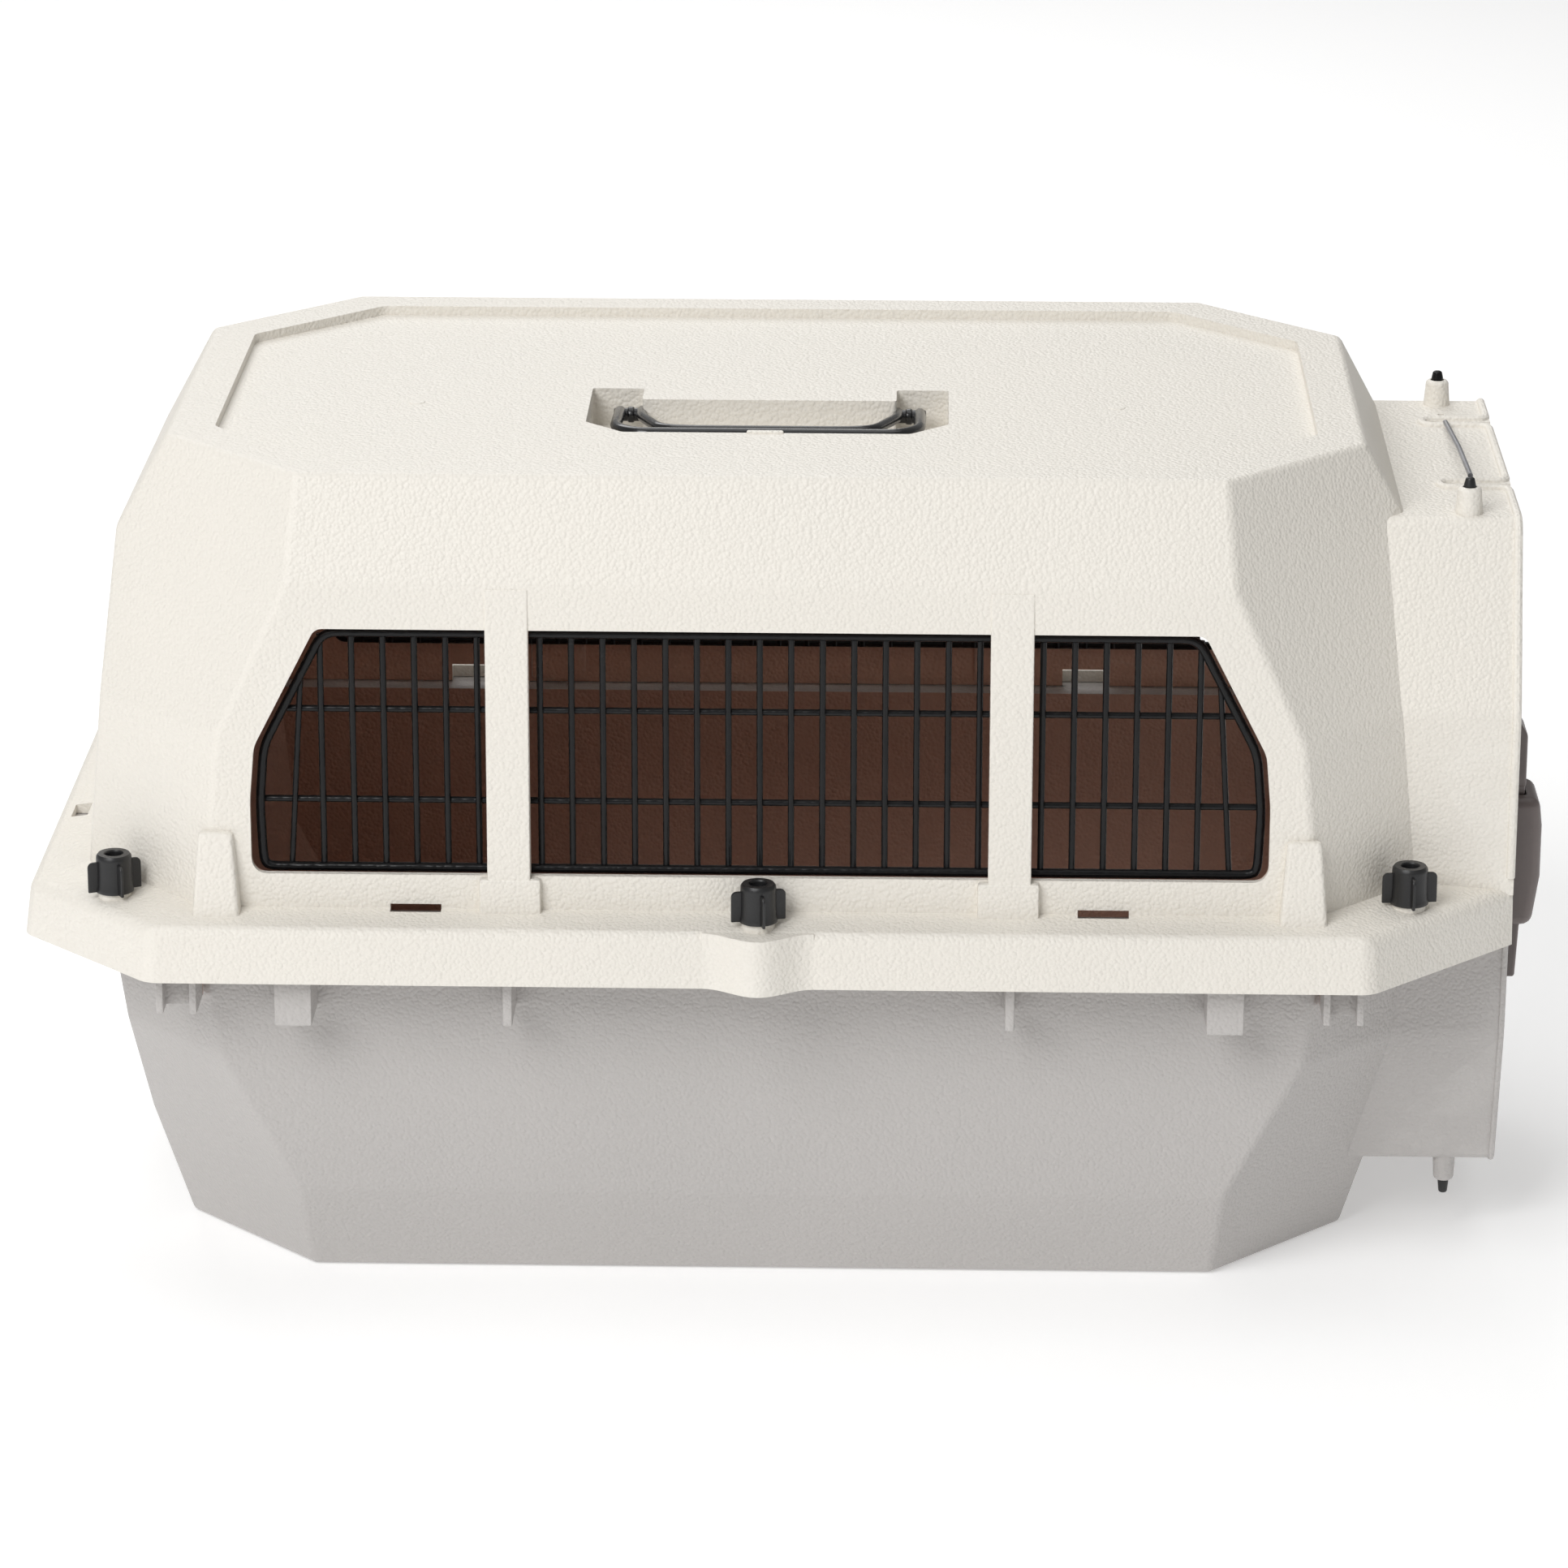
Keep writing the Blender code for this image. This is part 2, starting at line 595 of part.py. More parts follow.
def build_handle():
    """A strap handle that folds down into its pocket and swings up on two pins."""
    arm_x, grip_y, grip_z = 0.0605, -0.0585, 0.3405
    outline = [
        (0.0650, PIVOT_Y + 0.004), (0.0650, grip_y + 0.006), (0.0560, grip_y - 0.0045),
        (-0.0560, grip_y - 0.0045), (-0.0650, grip_y + 0.006), (-0.0650, PIVOT_Y + 0.004),
        (-0.0570, PIVOT_Y + 0.004), (-0.0570, grip_y + 0.012), (-0.0480, grip_y + 0.0035),
        (0.0480, grip_y + 0.0035), (0.0570, grip_y + 0.012), (0.0570, PIVOT_Y + 0.004),
    ]
    handle = prism("carry_handle", outline, -0.003, 0.003, material=black)
    lean = (grip_z - PIVOT_Z) / (PIVOT_Y - grip_y)
    for vert in handle.data.vertices:
        vert.co.z += PIVOT_Z + (PIVOT_Y - vert.co.y) * lean
    for side in (-1, 1):
        bore = cone(
            f"handle_bore_{side}",
            (PIVOT_Y, PIVOT_Z),
            side * arm_x - PASS,
            side * arm_x + PASS,
            PIN_R + GAP,
            sides=12,
            axis="X",
        )
        cut(handle, bore)
        ends = sorted((side * (PIN_MIDDLE - 0.0125), side * (PIN_MIDDLE + 0.0128)))
        cone(
            f"handle_pin_{'left' if side < 0 else 'right'}", (PIVOT_Y, PIVOT_Z), *ends, PIN_R, sides=12,
            axis="X", material=steel,
        )
    set_pivot(handle, (0.0, PIVOT_Y, PIVOT_Z))


def build_fasteners():
    """Six wing nuts on the flange, each on a carriage bolt that comes up through both shells."""
    names = ("left", "middle", "right")
    for side, where in ((-1, "front"), (1, "back")):
        for (x, y), name in zip(NUTS, names):
            seat = NUT_SEAT_Z + GAP
            nut = cone(
                f"wing_nut_{where}_{name}", (x, side * y), seat, seat + 0.0158, 0.0078, 0.0074, material=black
            )
            for quarter in range(4):
                turn = math.radians(10 + 90 * quarter)
                fin = brick(
                    f"fin_{where}_{name}_{quarter}",
                    (0.006, -FIN_THICKNESS / 2, seat),
                    (FIN_REACH, FIN_THICKNESS / 2, seat + FIN_HEIGHT),
                )
                fin.data.transform(
                    Matrix.Translation((x, side * y, 0.0)) @ Matrix.Rotation(turn, 4, "Z")
                )
                join(nut, fin)
            cut(nut, cone(f"nut_bore_{where}_{name}", (x, side * y), 0.1, 0.3, 0.0033, sides=12))
            set_pivot(nut, (x, side * y, seat))
            bolt = cone(
                f"carriage_bolt_{where}_{name}", (x, side * y), RIM_Z - WALL - 0.0028, seat + 0.0120, 0.0029,
                sides=10, material=steel,
            )
            head = cone(
                f"bolt_head_{where}_{name}",
                (x, side * y),
                RIM_Z - WALL - 0.0033,
                RIM_Z - WALL - GAP,
                0.0040,
                0.0065,
                sides=12,
            )
            join(bolt, head)


def build_tie_rod():
    """A thin steel rod that lies on the door box between its two notches."""
    rod = bpy.data.curves.new("tie_rod", "CURVE")
    rod.dimensions, rod.bevel_depth, rod.bevel_resolution, rod.use_fill_caps = "3D", 0.0011, 1, True
    spline = rod.splines.new("POLY")
    route = ((ROD_X + 0.0010, 0.0520, 0.3194), (ROD_X + 0.0004, -0.0816, 0.3325))
    spline.points.add(len(route) - 1)
    for point, place in zip(spline.points, route):
        point.co = (*place, 1.0)
    made = bpy.data.objects.new("tie_rod", rod)
    rod.materials.append(steel)
    parts.objects.link(made)


clear_scene()
parts = collection("pet_carrier")
cutters = collection("cutters")
cream = plastic("cream plastic", CREAM, 0.5)
grey = plastic("grey plastic", GREY, 0.5)
taupe = plastic("taupe plastic", TAUPE, 0.4)
black = plastic("black plastic", BLACK, 0.25)
steel = plastic("steel", STEEL, 0.35, 1.0)

build_top_shell()
build_bottom_shell()
build_grilles()
build_door()
build_latch()
build_handle()
build_fasteners()
build_tie_rod()
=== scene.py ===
"""Pet transport carrier: two moulded half shells bolted together at a wide flange.

The long sides have windows behind wire grilles, the end has a wire door with a squeeze latch, and a strap
handle folds into the roof.  Metres, +Z up, origin at the centre of the base, +X towards the door.
"""

from __future__ import annotations

import logging
import math
from dataclasses import dataclass
from enum import Enum

import bpy
from mathutils import Matrix, Vector


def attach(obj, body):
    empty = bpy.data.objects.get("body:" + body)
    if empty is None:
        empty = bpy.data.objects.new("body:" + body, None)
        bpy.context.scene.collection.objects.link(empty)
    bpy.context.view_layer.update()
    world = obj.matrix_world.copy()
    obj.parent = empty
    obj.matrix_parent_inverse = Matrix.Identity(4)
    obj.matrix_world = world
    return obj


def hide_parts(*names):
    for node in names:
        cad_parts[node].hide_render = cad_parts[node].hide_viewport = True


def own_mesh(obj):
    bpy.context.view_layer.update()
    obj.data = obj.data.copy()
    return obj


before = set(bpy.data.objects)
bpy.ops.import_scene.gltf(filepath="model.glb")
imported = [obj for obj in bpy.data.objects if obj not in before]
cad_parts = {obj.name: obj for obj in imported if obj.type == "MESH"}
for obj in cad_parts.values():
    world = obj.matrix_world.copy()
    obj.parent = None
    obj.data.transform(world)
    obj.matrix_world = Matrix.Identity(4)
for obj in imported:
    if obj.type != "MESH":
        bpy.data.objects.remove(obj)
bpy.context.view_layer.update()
LOG = logging.getLogger("pet_carrier")

Step = tuple[float, float]
Place = tuple[float, float, float]
Colour = tuple[float, float, float]
Plane = tuple[Vector, Vector]
Outline = list[Step]

FRONT, BACK = -90.0, 90.0
SIDES = (FRONT, BACK)
ENDS = (0.0, 180.0)
CORNERS = (45.0, 135.0, 225.0, 315.0)
BOTH = (-1, 1)
ROWS = ((-1, "front"), (1, "back"))

# A face that is trimmed off later starts this far out, so that no rounding is left beside the trim.
OUT_OF_THE_WAY = 0.03
# How far a cutting tool reaches past what it cuts.
CLEAR = 0.01
# How far one solid is sunk into another that it joins.
OVERLAP = 0.001
# The least distance between two faces that must not coincide.
HAIR = 0.0001
# Points closer than this are one point.
WELD = 1e-6
# The cube that solids are hewn from.
BLANK = 1.2
# Where the door box, and the mouth cut through it, start inside the cabin.
BOX_ROOT_X, MOUTH_ROOT_X = 0.2, 0.21
# The hinge rod and the bolt rods stand here, on either side of the middle.
ROD_X, ROD_Y = 0.2862, 0.0855
# The handle turns about this line, which runs along X.
PIVOT_Y, PIVOT_Z = -0.0065, 0.3352


class Cut(Enum):
    """What a Boolean does with its tool."""

    ADD = "UNION"
    REMOVE = "DIFFERENCE"


class Body(Enum):
    """The rigid bodies that pieces ride on."""

    CARRIER = "carrier"
    HANDLE = "handle"
    DOOR = "door"
    UPPER_LATCH = "upper_latch"
    LOWER_LATCH = "lower_latch"


# ---------------------------------------------------------------- the modelling bench


def deselect() -> None:
    """Leaves edit mode and deselects everything."""
    if bpy.context.mode != "OBJECT":
        bpy.ops.object.mode_set(mode="OBJECT")
    bpy.ops.object.select_all(action="DESELECT")


def pick(piece: bpy.types.Object) -> None:
    """Makes one object the only selected one and the active one.

    Args:
        piece: The object to work on.
    """
    deselect()
    piece.select_set(True)
    bpy.context.view_layer.objects.active = piece


def fix_place(piece: bpy.types.Object) -> bpy.types.Object:
    """Moves an object's place, turn and size into its mesh.

    Args:
        piece: The object to settle.

    Returns:
        The same object, now at the origin.
    """
    pick(piece)
    bpy.ops.object.transform_apply(location=True, rotation=True, scale=True)
    return piece


def slant(angle: float, low: Step, high: Step) -> Plane:
    """Finds the plane that faces a direction in plan and passes through two heights.

    Args:
        angle: The direction that the plane faces, in degrees in plan.
        low: Distance from the vertical axis, and height, of the first point.
        high: The same for a point above it.

    Returns:
        A point on the plane and its outward normal.
    """
    rise, lean = high[1] - low[1], low[0] - high[0]
    across = Vector((math.cos(math.radians(angle)), math.sin(math.radians(angle)), 0.0))
    normal = (across * rise + Vector((0.0, 0.0, lean))).normalized()
    return across * low[0] + Vector((0.0, 0.0, low[1])), normal


def walls(profile: tuple[Step, ...], angles: tuple[float, ...]) -> list[Plane]:
    """Finds one plane for each step of a profile in each direction.

    Args:
        profile: Points (distance, height) from the bottom up.
        angles: The directions that the walls face.

    Returns:
        The planes.
    """
    return [slant(angle, *step) for angle in angles for step in zip(profile, profile[1:])]


def level(height: float, up: bool = True) -> Plane:
    """Gives the horizontal plane at a height, facing up or down."""
    return Vector((0.0, 0.0, height)), Vector((0.0, 0.0, 1.0 if up else -1.0))


def upright(angle: float, distance: float) -> Plane:
    """Gives the vertical plane that faces a direction at a distance from the axis."""
    return slant(angle, (distance, 0.0), (distance, 1.0))


def flanks(middle: float, half: float) -> list[Plane]:
    """Gives the planes that face -X and +X, half a width to either side of a middle."""
    return [(Vector((middle + way * half, 0, 0)), Vector((way, 0, 0))) for way in BOTH]


def between(low_y: float, high_y: float) -> list[Plane]:
    """Gives the plane that faces -Y at one place and the plane that faces +Y at another."""
    return [(Vector((0, low_y, 0)), Vector((0, -1, 0))), (Vector((0, high_y, 0)), Vector((0, 1, 0)))]


def inset(planes: list[Plane], depth: float) -> list[Plane]:
    """Moves planes inwards by a depth."""
    return [(point - normal * depth, normal) for point, normal in planes]


def trim(piece: bpy.types.Object, planes: list[Plane]) -> None:
    """Cuts away what lies outside each plane and closes the cut.

    Args:
        piece: The mesh object to trim.
        planes: Points and outward normals.
    """
    pick(piece)
    bpy.ops.object.mode_set(mode="EDIT")
    for point, normal in planes:
        bpy.ops.mesh.select_all(action="SELECT")
        bpy.ops.mesh.bisect(plane_co=point, plane_no=normal, use_fill=True, clear_outer=True, threshold=WELD)
    bpy.ops.object.mode_set(mode="OBJECT")


def hewn(name: str, planes: list[Plane], around: Place = (0.0, 0.0, 0.2)) -> bpy.types.Object:
    """Makes the convex solid inside all the planes by trimming a cube.

    Args:
        name: The object's name.
        planes: Points and outward normals.
        around: The middle of the cube that is trimmed.

    Returns:
        The solid.
    """
    deselect()
    bpy.ops.mesh.primitive_cube_add(size=BLANK, location=around)
    block = fix_place(bpy.context.object)
    block.name = name
    trim(block, planes)
    return block


def brick(name: str, low: Place, high: Place) -> bpy.types.Object:
    """Makes a box between two corners.

    Args:
        name: The object's name.
        low: The corner with the least x, y and z.
        high: The opposite corner.

    Returns:
        The box.
    """
    deselect()
    middle = [(a + b) / 2 for a, b in zip(low, high)]
    bpy.ops.mesh.primitive_cube_add(size=1.0, location=middle, scale=[b - a for a, b in zip(low, high)])
    block = fix_place(bpy.context.object)
    block.name = name
    return block


def turned(
    name: str,
    foot: Place,
    length: float,
    radius: float,
    tip: float | None = None,
    sides: int = 24,
    axis: str = "Z",
) -> bpy.types.Object:
    """Makes a cylinder or a cone that stands on a point.

    Args:
        name: The object's name.
        foot: The middle of its lower end.
        length: Its length along the axis.
        radius: Its radius at the foot.
        tip: Its radius at the other end, the same if left out.
        sides: How many sides it has.
        axis: The axis that it runs along, X, Y or Z.

    Returns:
        The solid.
    """
    deselect()
    turn = {"X": (0.0, math.pi / 2, 0.0), "Y": (-math.pi / 2, 0.0, 0.0), "Z": (0.0, 0.0, 0.0)}[axis]
    middle = Vector(foot)
    middle["XYZ".index(axis)] += length / 2
    bpy.ops.mesh.primitive_cone_add(
        vertices=sides,
        radius1=radius,
        radius2=radius if tip is None else tip,
        depth=length,
        location=middle,
        rotation=turn,
    )
    made = fix_place(bpy.context.object)
    made.name = name
    return made


def face_outwards(piece: bpy.types.Object, weld: bool = False) -> bpy.types.Object:
    """Turns the faces of a closed mesh outwards.

    Args:
        piece: The mesh object.
        weld: Whether points that coincide are merged first.

    Returns:
        The same object.
    """
    pick(piece)
    bpy.ops.object.mode_set(mode="EDIT")
    bpy.ops.mesh.select_all(action="SELECT")
    if weld:
        bpy.ops.mesh.remove_doubles(threshold=WELD)
    bpy.ops.mesh.normals_make_consistent(inside=False)
    bpy.ops.object.mode_set(mode="OBJECT")
    return piece


def from_curve(curve: bpy.types.Curve, points: list[Vector], closed: bool) -> bpy.types.Object:
    """Lays a straight-sided spline through points and turns the curve into a closed mesh.

    Args:
        curve: The curve, with its bevel or its depth set.
        points: The points of its spline.
        closed: Whether the spline is a ring.

    Returns:
        The mesh object, with its caps welded on.
    """
    spline = curve.splines.new("POLY")
    spline.points.add(len(points) - 1)
    for place, point in zip(spline.points, points):
        place.co = (*point, 1.0)
    spline.use_cyclic_u = closed
    made = bpy.data.objects.new(curve.name, curve)
    bpy.context.scene.collection.objects.link(made)
    pick(made)
    bpy.ops.object.convert(target="MESH")
    return face_outwards(made, weld=True)


def bent(route: list[Vector], bend: float, closed: bool, steps: int = 5) -> list[Vector]:
    """Rounds the corners of a route.

    Args:
        route: The corner points.
        bend: How far from each corner its curve starts.
        closed: Whether the route comes back to its start.
        steps: How many stretches make one corner.

    Returns:
        The points of the rounded route.
    """
    points = []
    most = 0.45
    for index, corner in enumerate(route):
        if not closed and index in (0, len(route) - 1):
            points.append(corner)
            continue
        back = route[index - 1] - corner
        on = route[(index + 1) % len(route)] - corner
        start = corner + back.normalized() * min(bend, back.length * most)
        end = corner + on.normalized() * min(bend, on.length * most)
        for step in range(steps + 1):
            part = step / steps
            points.append(start.lerp(corner, part).lerp(corner.lerp(end, part), part))
    return points


def wire(
    name: str,
    route: list[Place],
    radius: float,
    bend: float = 0.0,
    closed: bool = False,
    roundness: int = 2,
) -> bpy.types.Object:
    """Bends a round wire along a route.

    Args:
        name: The object's name.
        route: Its corner points.
        radius: The wire's radius.
        bend: How far from a corner the bend starts.
        closed: Whether it is a ring.
        roundness: The bevel resolution of its section.

    Returns:
        The wire as a closed mesh.
    """
    curve = bpy.data.curves.new(name, "CURVE")
    curve.dimensions, curve.bevel_depth, curve.bevel_resolution = "3D", radius, roundness
    curve.use_fill_caps = not closed
    points = [Vector(point) for point in route]
    if bend:
        points = bent(points, bend, closed)
    return from_curve(curve, points, closed)


def slab(name: str, outline: Outline, low: float, high: float, bend: float = 0.0) -> bpy.types.Object:
    """Makes a solid from a flat outline.

    Args:
        name: The object's name.
        outline: The corners (x, y) in order.
        low: Height of its lower face.
        high: Height of its upper face.
        bend: How far from each corner its rounding starts.

    Returns:
        The solid.
    """
    curve = bpy.data.curves.new(name, "CURVE")
    curve.dimensions, curve.fill_mode, curve.extrude = "2D", "BOTH", (high - low) / 2
    points = [Vector((x, y, 0.0)) for x, y in outline]
    if bend:
        points = bent(points, bend, closed=True)
    made = from_curve(curve, points, closed=True)
    made.location.z = (high + low) / 2
    return fix_place(made)


def stood_up(piece: bpy.types.Object, side: float) -> bpy.types.Object:
    """Turns a slab drawn in (x, height) upright, so that it cuts through the wall on one side.

    Args:
        piece: The slab, drawn flat with height as y and depth as z.
        side: -1 for the front wall and 1 for the back wall.

    Returns:
        The same object.
    """
    piece.data.transform(Matrix(((1, 0, 0, 0), (0, 0, side, 0), (0, 1, 0, 0), (0, 0, 0, 1))))
    return face_outwards(piece)


def use(piece: bpy.types.Object, modifier: bpy.types.Modifier) -> None:
    """Applies a modifier."""
    pick(piece)
    bpy.ops.object.modifier_apply(modifier=modifier.name)


def soften(piece: bpy.types.Object, width: float, segments: int = 3, over: float = 25.0) -> bpy.types.Object:
    """Rounds the edges that turn by more than an angle.

    Args:
        piece: The object to round.
        width: The width of the rounding.
        segments: Its number of faces.
        over: The least angle, in degrees, of an edge that is rounded.

    Returns:
        The same object.
    """
    bevel = piece.modifiers.new("Soft edges", "BEVEL")
    bevel.width, bevel.segments, bevel.limit_method = width, segments, "ANGLE"
    bevel.angle_limit = math.radians(over)
    use(piece, bevel)
    return piece


def boolean(piece: bpy.types.Object, tools: list[bpy.types.Object], cut: Cut) -> None:
    """Adds tools to a piece or cuts them out of it, and removes them.

    Args:
        piece: The object that is kept.
        tools: The solids that shape it.
        cut: Whether they are added or removed.
    """
    for tool in tools:
        modifier = piece.modifiers.new(tool.name, "BOOLEAN")
        modifier.operation, modifier.object, modifier.solver = cut.value, tool, "EXACT"
        use(piece, modifier)
        bpy.data.objects.remove(tool, do_unlink=True)


def gather(name: str, pieces: list[bpy.types.Object]) -> bpy.types.Object:
    """Joins objects into one mesh.

    Args:
        name: The name of the result.
        pieces: The objects, the first of which is kept.

    Returns:
        The joined object.
    """
    deselect()
    for piece in pieces:
        piece.select_set(True)
    bpy.context.view_layer.objects.active = pieces[0]
    if len(pieces) > 1:
        bpy.ops.object.join()
    made = bpy.context.object
    made.name = made.data.name = name
    return made


def copied(
    piece: bpy.types.Object, name: str, shift: Place = (0.0, 0.0, 0.0), turn: float = 0.0
) -> bpy.types.Object:
    """Copies an object with its own mesh to another place.

    Args:
        piece: The object to copy.
        name: The copy's name.
        shift: How far the copy is moved.
        turn: How far it is first turned about Z, in radians.

    Returns:
        The copy, with its place in its mesh.
    """
    twin = bpy.data.objects.new(name, piece.data.copy())
    twin.data.name = name
    twin.data.transform(Matrix.Translation(shift) @ Matrix.Rotation(turn, 4, "Z"))
    bpy.context.scene.collection.objects.link(twin)
    return twin


def smooth(piece: bpy.types.Object, angle: float = 32.0) -> bpy.types.Object:
    """Shades an object smooth up to an angle, with its flat faces kept flat.

    Args:
        piece: The object to shade.
        angle: The least angle, in degrees, of an edge that stays sharp.

    Returns:
        The same object.
    """
    pick(piece)
    bpy.ops.object.shade_smooth_by_angle(angle=math.radians(angle))
    weighted = piece.modifiers.new("Flat faces", "WEIGHTED_NORMAL")
    weighted.keep_sharp = True
    use(piece, weighted)
    return piece


def dress(piece: bpy.types.Object, material: bpy.types.Material) -> None:
    """Gives an object one material in place of any it has."""
    piece.data.materials.clear()
    piece.data.materials.append(material)


def settle(piece: bpy.types.Object, body: str, material: bpy.types.Material, node: str) -> None:
    """Finishes a piece: its material, its body, and the node that it stands for.

    Args:
        piece: The finished mesh object.
        body: The body that it rides on.
        material: The material that it wears.
        node: The frame's node that it replaces.
    """
    dress(piece, material)
    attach(piece, body)
    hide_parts(node)
    faces = sum(len(face.vertices) - 2 for face in piece.data.polygons)
    LOG.info("%s on %s: %d triangles", piece.name, body, faces)


def mirrored(half: Outline) -> Outline:
    """Closes the right half of an outline with its mirror image."""
    return [*half, *[(-x, y) for x, y in reversed(half)]]


# ---------------------------------------------------------------- the moulded shells


@dataclass
class Flange:
    """The wide flange where the shells meet, with its skirt.

    Attributes:
        seat_z: Height of its underside.
        edge_z: Height of its top face at the outer edge.
        skirt_z: Height of the skirt's lower edge.
        rise: How much the top face climbs from its edge to the wall.
        draft: How far the skirt spreads down to its lower edge.
        wall: Thickness of the moulding.
        door_x: The plane where it ends at the door.
        edge_round: Width of the rounding of its outer edge.
        nut_seat_z: Height of the pads under the wing nuts.
        nuts: Where the bolts come through, as x and distance to either side of the middle.
        nut_hole: Radius of the bolts' holes.
        bulge_root: Distance from the middle of the end of a bulge that is inside the flange.
        bulge_foot: Distance from the middle of the skirt that a bulge rises from.
        bulge_reach: How far a bulge stands out of the skirt.
        bulge_half: Half a bulge's length.
    """

    seat_z: float = 0.165
    edge_z: float = 0.168
    skirt_z: float = 0.1454
    rise: float = 0.0028
    draft: float = 0.0028
    wall: float = 0.003
    door_x: float = 0.307
    edge_round: float = 0.0042
    nut_seat_z: float = 0.1710
    nuts: tuple[Step, ...] = ((-0.2625, 0.146), (0.0, 0.1752), (0.2625, 0.146))
    nut_hole: float = 0.0034
    bulge_root: float = 0.168
    bulge_foot: float = 0.1848
    bulge_reach: float = 0.0099
    bulge_half: float = 0.0225

    def edges(self) -> list[tuple[float, float, float]]:
        """Lists direction, distance to the edge and distance to the wall of each side but the door's."""
        return (
            [(180.0, 0.300, 0.278)]
            + [(angle, 0.182, 0.1632) for angle in SIDES]
            + [(angle, 0.3016, 0.2744) for angle in CORNERS]
        )

    def skirt(self, shrink: float) -> list[Plane]:
        """Gives the skirt's drafted sides, moved inwards by shrink."""
        spread = self.draft - shrink
        return [
            slant(angle, (edge + spread, self.skirt_z), (edge - shrink, self.edge_z))
            for angle, edge, _ in self.edges()
        ]

    def top(self) -> list[Plane]:
        """Gives the top faces, which drain outwards."""
        return [
            slant(angle, (edge, self.edge_z), (wall, self.edge_z + self.rise))
            for angle, edge, wall in self.edges()
        ]

    def bulge(self, name: str, side: float, inward: float, low: float, high: float) -> bpy.types.Object:
        """Makes the rounded bulge of the skirt beside a middle nut.

        Args:
            name: The object's name.
            side: -1 for the front and 1 for the back.
            inward: How far the shape is drawn in, for its hollow.
            low: Height of its lower end.
            high: Height of its top.

        Returns:
            The solid, its skirt drafted.
        """
        steps = 18
        half = self.bulge_half - inward
        base = self.bulge_foot - inward
        outline = [(half, self.bulge_root), (-half, self.bulge_root)]
        for step in range(steps + 1):
            along = -1.0 + 2.0 * step / steps
            swell = 0.5 + 0.5 * math.cos(math.pi * along)
            outline.append((along * half, base + self.bulge_reach * swell))
        solid = slab(name, [(x, side * y) for x, y in outline], low, high)
        slope = self.draft / (self.edge_z - self.skirt_z)
        lean = Matrix.Identity(4)
        lean[1][2] = -side * slope
        lean[1][3] = side * slope * self.skirt_z
        solid.data.transform(lean)
        return solid


